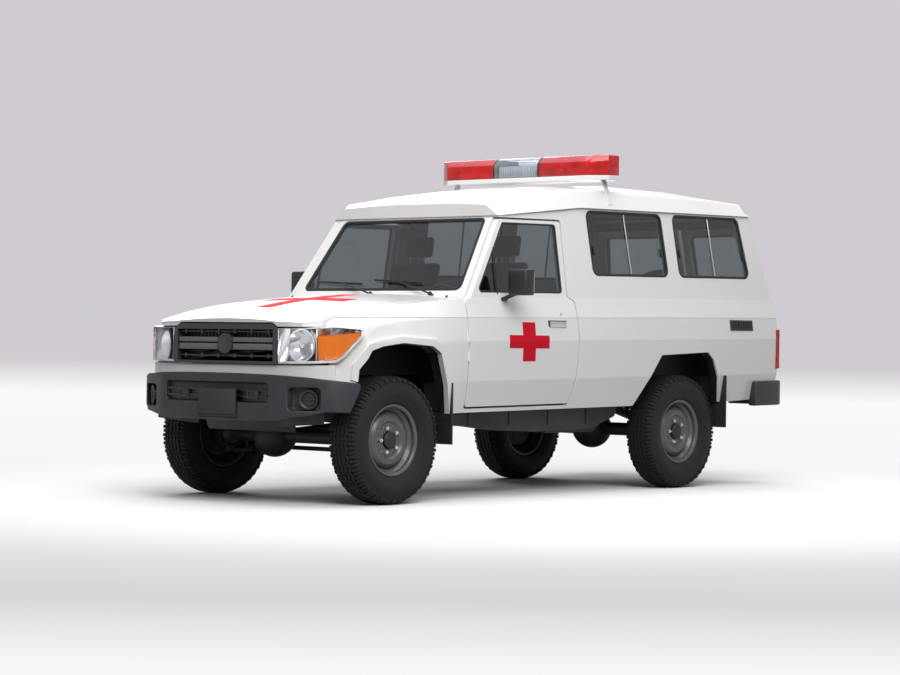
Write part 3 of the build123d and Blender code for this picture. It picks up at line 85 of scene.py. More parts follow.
def pick(piece, test, kind="faces"):
    """In edit mode, selects just the faces, edges or vertices that pass a test."""
    modes = {"faces": "FACE", "edges": "EDGE", "verts": "VERT"}
    bpy.ops.mesh.select_all(action="DESELECT")
    bpy.ops.mesh.select_mode(type=modes[kind])
    mesh = bmesh.from_edit_mesh(piece.data)
    for part in getattr(mesh, kind):
        if test(part):
            part.select_set(True)
    mesh.select_flush_mode()
    bmesh.update_edit_mesh(piece.data)


# %% [markdown]
# ### Change a piece
# Most pieces need the same few changes: a modifier applied, edges rounded, corners moved, a face sunk or some faces
# thrown away. A function for each keeps the steps below short.


# %% Modify, round, move, sink and delete
def shape(piece, kind, **settings):
    """Adds a modifier and applies it."""
    work_on(piece)
    change = piece.modifiers.new(kind.lower(), kind)
    for key, value in settings.items():
        setattr(change, key, value)
    bpy.ops.object.modifier_apply(modifier=change.name)


def rounded(piece, width, segments=2, angle=35, clamp=True):
    """Rounds every edge sharper than an angle."""
    shape(piece, "BEVEL", width=width, segments=segments, limit_method="ANGLE", angle_limit=radians(angle),
          use_clamp_overlap=clamp)
    return piece


def moved(piece, test, step):
    """Moves the vertices that pass a test."""
    edit(piece, "DESELECT")
    pick(piece, test, "verts")
    bpy.ops.transform.translate(value=step)
    leave()
    return piece


def sunk(piece, facing, inset, depth):
    """Insets the faces that look one way and pushes what is left of them in by a depth."""
    facing = Vector(facing)
    edit(piece, "DESELECT")
    pick(piece, lambda face: face.normal.dot(facing) > 0.9)
    bpy.ops.mesh.inset(thickness=inset)
    bpy.ops.mesh.extrude_region_move(TRANSFORM_OT_translate={"value": facing * -depth})
    leave()


def without(piece, test):
    """Deletes the faces that pass a test."""
    edit(piece, "DESELECT")
    pick(piece, test)
    bpy.ops.mesh.delete(type="FACE")
    leave()
    return piece


# %% [markdown]
# ### Copy, join and finish
# A piece that exists twice is modelled once, on the left, and mirrored. Every finished piece has its place in its
# mesh, so its origin stays at the world's, and it rides on one body of the solid model.

# %% Copies, mirrored pairs and finished pieces
SIDES = (1, -1)
MIRROR_Y = Matrix.Scale(-1, 4, (0, 1, 0))


def settle(piece, name, slot, body="body", finish=None, smooth=40):
    """Puts the place into the mesh, then names the piece, gives it a finish and lets it ride on a body."""
    work_on(piece)
    bpy.ops.object.transform_apply()
    bpy.ops.object.shade_smooth_by_angle(angle=radians(smooth))
    piece.name = name
    piece.data.name = name
    piece.data.materials.clear()
    piece.data.materials.append(finish or finishes[slot])
    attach(piece, body)
    return piece


def copy_of(piece, place=Matrix.Identity(4)):
    """New object with a copy of a mesh, moved by a matrix; a mirrored copy gets its normals turned back."""
    twin = bpy.data.objects.new(piece.name + "_copy", piece.data.copy())
    bpy.context.scene.collection.objects.link(twin)
    twin.data.transform(place)
    if place.determinant() < 0:
        edit(twin)
        bpy.ops.mesh.flip_normals()
        leave()
    return twin


def clean_copy(node, angle=1):
    """Copy of a solid, with the triangles of its flat faces merged."""
    piece = copy_of(nodes[node])
    edit(piece)
    bpy.ops.mesh.remove_doubles(threshold=0.0001)
    bpy.ops.mesh.dissolve_limited(angle_limit=radians(angle))
    leave()
    return piece


def join(pieces):
    """Several objects made one mesh."""
    work_on(pieces[0])
    for piece in pieces:
        piece.select_set(True)
    bpy.ops.object.join()
    return bpy.context.view_layer.objects.active


def mirrored(piece):
    """One mesh of a piece and its twin on the right."""
    return join([piece, copy_of(piece, MIRROR_Y)])


def on_both_sides(pattern, name, slot, body="door_", finish=None, smooth=40):
    """Left and right pieces from a pattern on the left, which then goes; body may end before the side's name."""
    pair = []
    for side, place in (("left", Matrix.Identity(4)), ("right", MIRROR_Y)):
        carrier = body + side if body.endswith("_") else body
        pair.append(settle(copy_of(pattern, place), name + side, slot, carrier, finish, smooth))
    bpy.data.objects.remove(pattern)
    return pair


# %% [markdown]
# ### Start a piece
# Pieces begin as a cube, a cylinder, a chain of edges or a section spun about the axle's direction. Each starter
# takes the numbers one would measure, such as two corners or two ends.


# %% Bars, drums, chains and spun sections
def bar(low, high):
    """Box between two corners, as a cube primitive scaled to size."""
    low, high = Vector(low), Vector(high)
    bpy.ops.mesh.primitive_cube_add(size=1, location=(low + high) / 2)
    piece = bpy.context.active_object
    piece.scale = high - low
    bpy.ops.object.transform_apply()
    return piece


def side_bar(side, low, high):
    """Bar with corners measured on the left, set on the left (1) or the right (-1)."""
    ends = sorted((side * low[1], side * high[1]))
    return bar((low[0], ends[0], low[2]), (high[0], ends[1], high[2]))


def drum(start, end, radius, sides=24):
    """Cylinder primitive from one point to another."""
    start, end = Vector(start), Vector(end)
    run = end - start
    turn = run.to_track_quat("Z", "Y").to_euler()
    bpy.ops.mesh.primitive_cylinder_add(
        vertices=sides, radius=radius, depth=run.length, location=(start + end) / 2, rotation=turn)
    piece = bpy.context.active_object
    bpy.ops.object.transform_apply()
    return piece


def trace(points):
    """Chain of edges: a plane shrunk to one vertex, which is then pulled out from point to point."""
    points = [Vector(point) for point in points]
    bpy.ops.mesh.primitive_plane_add(size=0.01, location=points[0])
    piece = bpy.context.active_object
    bpy.ops.object.transform_apply()
    edit(piece)
    bpy.ops.mesh.merge(type="CENTER")
    for here, there in zip(points, points[1:]):
        bpy.ops.mesh.extrude_vertices_move(TRANSFORM_OT_translate={"value": there - here})
    leave()
    return piece


def spun(section, steps=96):
    """Closed section of (radius, offset) pairs, spun about the Y axis."""
    piece = trace([(radius, offset, 0) for radius, offset in (*section, section[0])])
    edit(piece)
    bpy.ops.mesh.spin(steps=steps, angle=2 * pi, center=(0, 0, 0), axis=(0, 1, 0))
    bpy.ops.mesh.select_all(action="SELECT")
    bpy.ops.mesh.remove_doubles(threshold=0.00005)
    bpy.ops.mesh.normals_make_consistent()
    leave()
    return piece


# %% Lines of the body
RAKE = 0.014
FRONT_AXLE_X = 1.810
SIDE_LINE = ((0.802, 0.540), (0.838, 0.735), (0.848, 0.985), (0.832, 1.130), (0.800, 1.262), (0.707, 1.860))


def lift(x, z):
    """Height of a line of the body at a station, because the body stands a little nose down."""
    return z + RAKE * (FRONT_AXLE_X - x)


def side_y(z):
    """Half width of the body's side at a height."""
    for (y_low, z_low), (y_high, z_high) in zip(SIDE_LINE, SIDE_LINE[1:]):
        if z <= z_high:
            break
    return y_low + (y_high - y_low) * (z - z_low) / (z_high - z_low)


print("half width at the handles:", round(side_y(1.09), 3))

# %% [markdown]
# ## Finishes
# A colour is written as the hex value one would pick on a screen, and one function turns it to the linear value
# the shader needs. One more small function adds a node, sets it and links it.


# %% Colour and node tools
def linear(hex_colour):
    """Hex colour, as on a screen, to the shader's linear RGBA."""
    channels = [int(hex_colour[place:place + 2], 16) / 255 for place in (1, 3, 5)]
    return (*[c / 12.92 if c <= 0.04045 else ((c + 0.055) / 1.055) ** 2.4 for c in channels], 1.0)


def add(tree, kind, links=None, **settings):
    """Adds a node; links gives its inputs as values or as other nodes' outputs."""
    made = tree.nodes.new("ShaderNode" + kind)
    for key, value in settings.items():
        setattr(made, key, value)
    for socket, value in (links or {}).items():
        if isinstance(value, bpy.types.NodeSocket):
            tree.links.new(value, made.inputs[socket])
        else:
            made.inputs[socket].default_value = value
    return made


def new_finish(name, colour, **sockets):
    """Material with one shader; socket names are written with underscores."""
    material = bpy.data.materials.new(name)
    material.use_nodes = True
    shader = material.node_tree.nodes["Principled BSDF"]
    shader.inputs["Base Color"].default_value = linear(colour)
    for socket, value in sockets.items():
        shader.inputs[socket.replace("_", " ")].default_value = value
    return material


# %% [markdown]
# ### Grain and patches
# No real surface has one even colour and gloss. Fine noise serves as bump for the grain, and broad noise mixes a
# second colour in and changes the gloss. Both are given in millimetres, so they can be compared with the real thing.


# %% Finish with a grain
def finish(name, colour, grain_mm, depth_mm, patch_mm, other=None, share=0.5, swing=0.06, **sockets):
    """Material with bump at one scale, and patches of another colour and gloss at a larger one."""
    material = new_finish(name, colour, **sockets)
    tree = material.node_tree
    shader = tree.nodes["Principled BSDF"]
    place = add(tree, "TexCoord").outputs["Object"]
    grain = add(tree, "TexNoise", {"Vector": place, "Scale": 1000 / grain_mm, "Detail": 3.0})
    height = add(tree, "Bump", {"Height": grain.outputs["Fac"], "Distance": depth_mm / 1000, "Strength": 1.0})
    tree.links.new(height.outputs["Normal"], shader.inputs["Normal"])
    patch = add(tree, "TexNoise", {"Vector": place, "Scale": 1000 / patch_mm, "Detail": 4.0})
    level = shader.inputs["Roughness"].default_value
    gloss = add(tree, "MapRange", {"Value": patch.outputs["Fac"], "From Min": 0.3, "From Max": 0.7,
                                   "To Min": level - swing, "To Max": level + swing})
    tree.links.new(gloss.outputs["Result"], shader.inputs["Roughness"])
    if other:
        spread = add(tree, "MapRange", {"Value": patch.outputs["Fac"], "From Min": 0.35, "From Max": 0.75,
                                        "To Min": 0.0, "To Max": share})
        base = tuple(shader.inputs["Base Color"].default_value)
        blend = add(tree, "Mix", {0: spread.outputs["Result"], 6: base, 7: linear(other)}, data_type="RGBA")
        tree.links.new(blend.outputs[2], shader.inputs["Base Color"])
    return material


# %% [markdown]
# ### The finishes, one by one
# Sprayed enamel is glossy with a faint orange peel, moulded bumpers have a leather-like grain, rubber is matt and
# a little dusty, and glass is tinted through its body.

# %% Finishes of the solids
finishes = {
    # white two-coat enamel: clear gloss over a slightly warm white, faint orange peel
    "white_paint": finish("White enamel", "#EDEDEB", 6, 0.006, 2600, "#E6E6E3", swing=0.03,
                          Roughness=0.30, Coat_Weight=0.5, Coat_Roughness=0.08),
    # vulcanised rubber: matt, dark, dusty in patches
    "tyre": finish("Tyre rubber", "#161617", 2.2, 0.12, 90, "#232323", 0.6, Roughness=0.78, Specular_IOR_Level=0.35),
    # stove enamel on pressed steel: dark grey with a dull metal sheen
    "wheel_steel": finish("Wheel enamel", "#535658", 3, 0.02, 60, "#484A4C",
                          Roughness=0.42, Metallic=0.25, Coat_Weight=0.2),
    # chassis paint: satin black under road dust
    "underbody": finish("Chassis paint", "#0D0D0E", 3, 0.05, 120, "#171716", 0.7, Roughness=0.6),
    # rough grey casting
    "cast_iron": finish("Grey casting", "#3A3B3C", 2, 0.15, 50, "#2B2A29", 0.6, Roughness=0.7, Metallic=0.5),
    # exhaust steel, sooty and browned by heat
    "exhaust_steel": finish("Sooty steel", "#2A2826", 2, 0.03, 150, "#3A322B", Roughness=0.6, Metallic=0.4),
    # safety glass with a faint grey tint
    "glass": finish("Tinted glass", "#A7B0B1", 60, 0.002, 800, swing=0.01,
                    Roughness=0.02, IOR=1.5, Transmission_Weight=1.0),
    # dark grey bumper plastic with a moulded grain
    "bumper_plastic": finish("Grained bumper plastic", "#282C2F", 2.4, 0.10, 160, "#22262A", 0.6,
                             Roughness=0.55, IOR=1.5),
    # black moulded plastic
    "black_plastic": finish("Black plastic", "#141415", 1.8, 0.05, 80, "#1D1D1E", Roughness=0.45, IOR=1.5),
    # satin grey grille plastic
    "grille_plastic": finish("Satin grille plastic", "#35393B", 1.5, 0.03, 90, "#2F3234", 0.4,
                             Roughness=0.38, IOR=1.5),
    # clear polycarbonate lamp cover
    "lamp_glass": finish("Clear lamp cover", "#FBFCFC", 50, 0.002, 400, swing=0.01,
                         Roughness=0.02, IOR=1.2, Transmission_Weight=1.0),
    # red acrylic lens with painted shade in darker patches, standing in for the ribs and lamps behind it
    "red_lens": finish("Red lens", "#FF2A26", 30, 0.003, 70, "#A90E16", 0.8, 0.02,
                       Roughness=0.05, IOR=1.45, Transmission_Weight=0.6),
    # black flap rubber
    "rubber": finish("Flap rubber", "#121213", 2.5, 0.06, 90, "#1E1E1E", Roughness=0.7),
    # woven grey cloth of the cushions
    "seat_fabric": finish("Cushion cloth", "#4A4D50", 1.6, 0.18, 14, "#3F4245", 0.7, Roughness=0.9, Sheen_Weight=0.25),
    # moulded grey interior plastic
    "trim_grey": finish("Interior plastic", "#5B5E60", 1.6, 0.06, 100, "#525557", 0.4, Roughness=0.6),
    # dark blue coated vinyl
    "mattress_vinyl": finish("Blue vinyl", "#27344A", 1.8, 0.08, 90, "#202B3E", Roughness=0.45),
    # satin aluminium tube
    "stretcher_tube": finish("Satin aluminium", "#C6C8CA", 1.2, 0.01, 60, "#B0B2B4", Roughness=0.35, Metallic=1.0),
}
print("finishes of the solids:", len(finishes))

# %% Finishes of the small pieces
# silvered reflector: bright, but too soft to mirror clearly
chrome = finish("Lamp reflector", "#ECEEF0", 25, 0.01, 90, swing=0.03, Roughness=0.16, Metallic=1.0)
# amber acrylic lens
amber = finish("Amber lens", "#FF8C1A", 14, 0.02, 40, "#E8720A", swing=0.02,
               Roughness=0.06, IOR=1.3, Transmission_Weight=0.35)
# red sign vinyl: nearly matt
red_vinyl = finish("Red vinyl", "#D81E30", 20, 0.006, 160, "#D21F30", 0.4, Roughness=0.7, Specular_IOR_Level=0.08)
# satin face of the grille's bars: lighter than the grille behind it
satin = finish("Satin bar", "#6C7174", 1.5, 0.02, 90, "#5F6467", 0.4, Roughness=0.30, IOR=1.5)
# clear acrylic lens, a little cold
clear_lens = finish("Clear lens", "#EEF4FA", 30, 0.003, 120, swing=0.02,
                    Roughness=0.05, IOR=1.25, Transmission_Weight=0.92)
print("finishes of the small pieces: 5")

# %% [markdown]
# ## Dress the solids
# The solids come with hard corners. Real pressed and moulded pieces have small radii, so each solid gets a weld,
# a merge of its flat triangles, a fine bevel and weighted normals, all left as modifiers on the untouched mesh. The
# pressed lines of the sides and doors bend by a few degrees only, so there the bevel starts at three degrees.

# %% Finish every solid
EDGE_RADIUS = {"white_paint": 0.004, "bumper_plastic": 0.014, "black_plastic": 0.010, "glass": 0.001, "tyre": 0.006,
               "wheel_steel": 0.003}
PRESSED_PANELS = ("body_sides", "door_left", "door_right")
for part in frame["record"]["subparts"]:
    piece = nodes[part["node"]]
    slot = part["material_slot"]
    piece.data.materials.clear()
    piece.data.materials.append(finishes[slot])
    for face in piece.data.polygons:
        face.use_smooth = True
    weld = piece.modifiers.new("weld", "WELD")
    weld.merge_threshold = 0.00002
    flat = piece.modifiers.new("flat", "DECIMATE")
    flat.decimate_type = "DISSOLVE"
    flat.angle_limit = radians(0.5)
    edge = piece.modifiers.new("edge", "BEVEL")
    edge.width = EDGE_RADIUS.get(slot, 0.003)
    edge.segments = 2
    edge.limit_method = "ANGLE"
    edge.angle_limit = radians(3 if part["node"] in PRESSED_PANELS else 28)
    even = piece.modifiers.new("even", "WEIGHTED_NORMAL")
    even.keep_sharp = True

# %% [markdown]
# ## Window seals
# A pane sits in a black rubber channel. The channel follows the pane exactly, so the quickest honest way is to take
# the pane's own outer face, inset it by the rubber's width, throw the middle away and give the ring its thickness.


# %% Rubber rings round every pane
def faces_out(face, outward):
    """How far a face looks outward, where outward is given for the left and mirrored for the right."""
    side = 1 if face.calc_center_median().y > 0 else -1
    return face.normal.dot(Vector((outward.x, side * outward.y, outward.z)))


def pane_ring(node, outward, width, stand, body):
    """Rubber ring along the edge of each pane of a glass solid; outward is the outside of a pane on the left."""
    ring = without(clean_copy(node, 2), lambda face: faces_out(face, outward) < 0.6)
    edit(ring)
    bpy.ops.mesh.inset(thickness=width, use_boundary=True)
    bpy.ops.mesh.delete(type="FACE")
    leave()
    shape(ring, "SOLIDIFY", thickness=stand, offset=1)
    rounded(ring, 0.003)
    return settle(ring, node + "_seal", "rubber", body)


AHEAD = Vector((0.82, 0, 0.57))
SIDEWAYS = Vector((0, 1, 0))
BEHIND = Vector((-1, 0, 0.2)).normalized()
PANES = (
    # solid, its outside on the left, ring width, how far it stands off the glass, body
    ("windscreen", AHEAD, 0.022, 0.010, "body"),
    ("side_windows", SIDEWAYS, 0.016, 0.011, "body"),
    ("door_glass_left", SIDEWAYS, 0.012, 0.009, "door_left"),
    ("door_glass_right", SIDEWAYS, 0.012, 0.009, "door_right"),
    ("rear_glass_left", BEHIND, 0.018, 0.011, "rear_door_left"),
    ("rear_glass_right", BEHIND, 0.018, 0.011, "rear_door_right"),
)
for pane_row in PANES:
    pane_ring(*pane_row)
print("window seals:", len(PANES))

# %% [markdown]
# ## Tyres
# An all-terrain tyre is a smooth carcass with a tread of zigzag ribs and knobs that reach round the shoulder. The
# carcass is one section spun about the axle. One pitch of the tread is modelled and an array turns it round the tyre.

# %% Carcass
CARCASS = (
    (0.2045, 0.064), (0.2195, 0.069), (0.226, 0.080), (0.246, 0.094), (0.270, 0.1005), (0.274, 0.1035),
    (0.300, 0.1045), (0.326, 0.1035), (0.330, 0.1005), (0.350, 0.097), (0.366, 0.089), (0.374, 0.078), (0.376, 0.055),
)
carcass = spun(CARCASS + tuple((radius, -offset) for radius, offset in reversed(CARCASS)), 132)
print("carcass faces:", len(carcass.data.polygons))

# %% One pitch of the tread
PITCHES = 44
HALF_PITCH = 0.385 * pi / PITCHES
TREAD_TOP = 0.3892
TREAD_FOOT = 0.372
RIB_Y = (-0.046, -0.0155, 0.0155, 0.046)
RIB_HALF = 0.0115
ZIGZAG = 0.005
pitch = []
for rib_y in RIB_Y:
    for x, shift in ((-HALF_PITCH, ZIGZAG), (0.0, -ZIGZAG)):
        run = bar((x + 0.0008, rib_y - RIB_HALF - shift, TREAD_FOOT),
                  (x + HALF_PITCH, rib_y + RIB_HALF - shift, TREAD_TOP))
        pitch.append(moved(run, lambda vert: vert.co.x > x + HALF_PITCH / 2, (0, 2 * shift, 0)))
for side in SIDES:
    for x, reach in ((-HALF_PITCH, 0.1040), (0.0, 0.0985)):
        knob = side_bar(side, (x + 0.004, 0.064, 0.356), (x + HALF_PITCH - 0.004, reach, 0.3875))
        pitch.append(moved(knob, lambda vert: abs(vert.co.y) > 0.08 and vert.co.z > 0.37, (0, -side * 0.005, -0.012)))
tread = join(pitch)
rounded(tread, 0.0014, 1)
bpy.ops.object.empty_add(rotation=(0, 2 * pi / PITCHES, 0))
turn = bpy.context.active_object
shape(tread, "ARRAY", count=PITCHES, use_relative_offset=False, use_object_offset=True, offset_object=turn)
bpy.data.objects.remove(turn)
tyre = join([carcass, tread])
print("tread pitches:", PITCHES)

# %% [markdown]
# ## Rims
# A pressed steel rim is a rolled barrel with a dished disc welded in, five nuts and a black hub. Barrel, disc, hub and
# brake drum are sections spun about the axle. The nuts are short hexagons with a stud.

# %% Barrel and disc
BARREL = (
    (0.2185, 0.0785), (0.2185, 0.0725), (0.2130, 0.0705), (0.2035, 0.0660), (0.2035, 0.0420), (0.1800, 0.0260),
    (0.1800, -0.0260), (0.2035, -0.0420), (0.2035, -0.0660), (0.2130, -0.0705), (0.2185, -0.0725), (0.2185, -0.0785),
    (0.2135, -0.0780), (0.1985, -0.0690), (0.1985, -0.0440), (0.1750, -0.0285), (0.1750, 0.0285), (0.1985, 0.0440),
    (0.1985, 0.0690), (0.2135, 0.0780),
)
DISC = (
    (0.1760, 0.0160), (0.1700, 0.0330), (0.1530, 0.0455), (0.1440, 0.0525), (0.1290, 0.0545), (0.1150, 0.0520),
    (0.1070, 0.0420), (0.0990, 0.0365), (0.0620, 0.0365), (0.0560, 0.0395), (0.0525, 0.0370), (0.0525, 0.0300),
    (0.0990, 0.0290), (0.1110, 0.0350), (0.1190, 0.0450), (0.1400, 0.0460), (0.1500, 0.0390), (0.1660, 0.0270),
    (0.1700, 0.0120),
)
rim = join([spun(BARREL), spun(DISC)])
rounded(rim, 0.0012, 1, 25)
print("rim faces:", len(rim.data.polygons))

# %% Nuts, hub and brake drum
HUB = ((0.0001, 0.0655), (0.0280, 0.0655), (0.0340, 0.0620), (0.0440, 0.0590), (0.0505, 0.0520), (0.0505, 0.0150),
       (0.0001, 0.0150))
DRUM = ((0.1480, -0.0070), (0.1480, 0.0090), (0.1420, 0.0135), (0.0340, 0.0135), (0.0340, -0.0070))
NUT_CIRCLE = 0.0755
NUTS = 5
FIRST_NUT = 0.3
nut = drum((0, 0.034, NUT_CIRCLE), (0, 0.052, NUT_CIRCLE), 0.0135, 6)
rounded(nut, 0.0018, 2)
stud = drum((0, 0.050, NUT_CIRCLE), (0, 0.061, NUT_CIRCLE), 0.0065, 16)
rounded(stud, 0.0012, 1)
nut = join([nut, stud])
nuts = [copy_of(nut, Matrix.Rotation(2 * pi * count / NUTS + FIRST_NUT, 4, "Y")) for count in range(NUTS)]
valve = drum((0.183, 0.030, 0), (0.188, 0.058, 0), 0.0042, 16)
nuts = join([*nuts, valve])
hub = spun(HUB, 48)
brake = spun(DRUM, 64)
bpy.data.objects.remove(nut)
print("nuts on a wheel:", NUTS)

# %% Set the five wheels
WHEELS = (
    # name, body, turn about the vertical, has a hub and brake
    ("front_left", "wheel_front_left", 0, True),
    ("front_right", "wheel_front_right", 180, True),
    ("rear_left", "wheel_rear_left", 0, True),
    ("rear_right", "wheel_rear_right", 180, True),
    ("spare", "rear_door_right", 90, False),
)
for name, body, degrees, driven in WHEELS:
    low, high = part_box("tyre_" + name)
    place = Matrix.Translation((Vector(low) + Vector(high)) / 2) @ Matrix.Rotation(radians(degrees), 4, "Z")
    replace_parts(settle(copy_of(tyre, place), "tread_tyre_" + name, "tyre", body), "tyre_" + name)
    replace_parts(settle(copy_of(rim, place), "steel_rim_" + name, "wheel_steel", body), "rim_" + name)
    settle(copy_of(nuts, place), "wheel_nuts_" + name, "stretcher_tube", body, smooth=30)
    if driven:
        settle(copy_of(hub, place), "hub_" + name, "underbody", body)
        settle(copy_of(brake, place), "brake_drum_" + name, "cast_iron", body)
for pattern in (tyre, rim, nuts, hub, brake):
    bpy.data.objects.remove(pattern)
print("wheels set:", len(WHEELS))

# %% [markdown]
# ## Headlamps
# Each lamp is one clear cover over a silvered bucket with a round reflector, and an amber indicator wraps round the
# corner. Cover and bucket are cut from the lamp's own solid, so they fit the wing exactly. The reflector is spun.

# %% Cover and bucket
LAMP_OUT = Vector((0.80, 0.60, 0.0))
cover = without(clean_copy("headlamps"), lambda face: faces_out(face, LAMP_OUT) <= 0.3)
shape(cover, "SOLIDIFY", thickness=0.003, offset=-1)
rounded(cover, 0.0012)
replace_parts(settle(cover, "lamp_covers", "lamp_glass"), "headlamps")
bucket = without(clean_copy("headlamps"), lambda face: faces_out(face, LAMP_OUT) > 0.3)
shape(bucket, "SOLIDIFY", thickness=0.002, offset=-1)
settle(bucket, "lamp_buckets", "lamp_glass", finish=chrome)
print("cover faces:", len(cover.data.polygons))

# %% Reflectors
LAMP_DIVIDE_Y = 0.700
REFLECTOR = ((0.010, -0.046), (0.030, -0.041), (0.054, -0.024), (0.074, -0.002), (0.088, 0.022), (0.094, 0.024),
             (0.094, 0.027), (0.085, 0.025), (0.071, 0.001), (0.052, -0.020), (0.030, -0.037), (0.010, -0.042))
BULB = ((0.0001, 0.022), (0.010, 0.020), (0.014, 0.012), (0.014, -0.004), (0.007, -0.008), (0.007, -0.042),
        (0.0001, -0.042))
reflector = join([spun(REFLECTOR, 64), spun(BULB, 32)])
lens_parts = []
for side in SIDES:
    aim = Matrix.Rotation(radians(-90 + 14 * side), 4, "Z")
    place = Matrix.Translation((2.352, side * 0.572, lift(2.35, 0.964)))
    lens_parts.append(copy_of(reflector, place @ aim))
    wall = side_bar(side, (2.262, LAMP_DIVIDE_Y, lift(2.3, 0.874)), (2.378, LAMP_DIVIDE_Y + 0.006, lift(2.3, 1.062)))
    lens_parts.append(rounded(wall, 0.001, 1))
bpy.data.objects.remove(reflector)
settle(join(lens_parts), "lamp_reflectors", "lamp_glass", finish=chrome)
print("reflectors and walls:", len(lens_parts))

# %% Amber indicators
indicator = clean_copy("headlamps")
for side in SIDES:
    edit(indicator)
    pick(indicator, lambda face: face.calc_center_median().y * side > 0)
    bpy.ops.mesh.bisect(plane_co=(0, side * (LAMP_DIVIDE_Y + 0.012), 0), plane_no=(0, side, 0),
                        use_fill=True, clear_inner=True)
    leave()
edit(indicator)
bpy.ops.mesh.bisect(plane_co=(2.3, 0, lift(2.3, 1.030)), plane_no=(0.12, 0, 1), use_fill=True, clear_outer=True)
bpy.ops.mesh.select_all(action="SELECT")
bpy.ops.mesh.normals_make_consistent()
bpy.ops.transform.shrink_fatten(value=-0.007)
leave()
settle(rounded(indicator, 0.003), "indicator_lenses", "lamp_glass", finish=amber)
print("indicator faces:", len(indicator.data.polygons))

# %% White ledges under the lamps
ledge = without(clean_copy("headlamps"), lambda face: face.normal.z > -0.6)
shape(ledge, "SOLIDIFY", thickness=0.015, offset=1)
settle(rounded(ledge, 0.002), "lamp_ledges", "white_paint")
print("ledge faces:", len(ledge.data.polygons))

# %% [markdown]
# ## Grille and bumper details
# Behind the grille's bars lies the dark radiator, so a finned black panel goes there. The boss in the middle stays
# blank. The bumper gets a black mouth with two tie-down blocks, a blank plate and two blanked fog lamp bezels.

# %% Panel behind the grille
BACK_X = 2.386
GRILLE_Z = (lift(BACK_X, 0.858), lift(BACK_X, 1.074))
GRILLE_HALF = 0.436
FINS = 28
fins = [bar((BACK_X - 0.012, -GRILLE_HALF, GRILLE_Z[0]), (BACK_X - 0.006, GRILLE_HALF, GRILLE_Z[1]))]
for count in range(FINS):
    fin_y = (count + 0.5) * 2 * GRILLE_HALF / FINS - GRILLE_HALF
    fins.append(bar((BACK_X - 0.008, fin_y - 0.0015, GRILLE_Z[0]), (BACK_X, fin_y + 0.0015, GRILLE_Z[1])))
settle(join(fins), "radiator_fins", "black_plastic")
print("fins:", FINS)

# %% Faces of the grille's bars, and the boss
BOSS = ((0.0001, 0.0135), (0.040, 0.0135), (0.046, 0.010), (0.053, 0.0145), (0.0595, 0.012), (0.0605, 0.004),
        (0.0605, 0.0), (0.0001, 0.0))
faces = []
for low, high in ((0.9265, 0.9615), (0.9725, 0.9995)):
    for side in SIDES:
        faces.append(side_bar(side, (2.4430, 0.068, low), (2.4462, 0.406, high)))
settle(rounded(join(faces), 0.0015), "grille_bar_faces", "grille_plastic", finish=satin)
boss = spun(BOSS, 64)
boss_z = lift(2.452, 0.850 + (0.084 + 0.160) / 2)
boss.data.transform(Matrix.Translation((2.4385, 0, boss_z)) @ Matrix.Rotation(radians(-90), 4, "Z"))
settle(boss, "grille_boss", "grille_plastic")
print("boss at height:", round(boss_z, 3))

# %% Bumper with a shallow seat for the plate
bumper = clean_copy("front_bumper")
seat = bar((2.535, -0.137, 0.520), (2.600, 0.207, 0.703))
shape(bumper, "BOOLEAN", operation="DIFFERENCE", object=seat, solver="EXACT")
bpy.data.objects.remove(seat)
rounded(bumper, 0.008, 3, 30, False)
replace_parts(settle(bumper, "bumper_skin", "bumper_plastic", smooth=35), "front_bumper")
print("bumper faces:", len(bumper.data.polygons))

# %% Bumper mouth and tie-down blocks
MOUTH_X = 2.4955
mouth = [bar((MOUTH_X, -0.436, lift(2.5, 0.626)), (MOUTH_X + 0.003, 0.436, lift(2.5, 0.738)))]
for low, high in ((0.652, 0.664), (0.690, 0.702)):
    mouth.append(bar((MOUTH_X, -0.434, lift(2.5, low)), (MOUTH_X + 0.016, 0.434, lift(2.5, high))))
settle(rounded(join(mouth), 0.002), "bumper_mouth", "black_plastic")
blocks = join([bar((MOUTH_X, y - 0.045, lift(2.5, 0.646)), (MOUTH_X + 0.022, y + 0.045, lift(2.5, 0.692)))
               for y in (0.31, -0.29)])
sunk(blocks, (1, 0, 0), 0.010, 0.008)
settle(rounded(blocks, 0.002), "tie_down_blocks", "bumper_plastic")
print("mouth and blocks made")

# %% Blank plate and fog lamp bezels
BEZEL = ((0.0001, 0.004), (0.036, 0.004), (0.042, 0.012), (0.052, 0.020), (0.058, 0.020), (0.060, 0.014),
         (0.060, -0.010), (0.0001, -0.010))
plate = bar((2.5355, -0.129, 0.541), (2.5445, 0.199, 0.695))
sunk(plate, (1, 0, 0), 0.008, 0.0012)
settle(rounded(plate, 0.0012), "blank_plate", "black_plastic")
bezels = []
for side in SIDES:
    aim = Matrix.Rotation(radians(-90 + 32 * side), 4, "Z")
    bezel = spun(BEZEL, 48)
    cross = bar((-0.040, 0.002, -0.004), (0.040, 0.014, 0.004))
    rounded(cross, 0.002)
    bezel = join([bezel, cross])
    bezel.data.transform(Matrix.Translation((2.398, side * 0.668, lift(2.4, 0.646))) @ aim)
    bezels.append(bezel)
settle(join(bezels), "fog_lamp_blanks", "black_plastic")
print("bezels:", len(bezels))
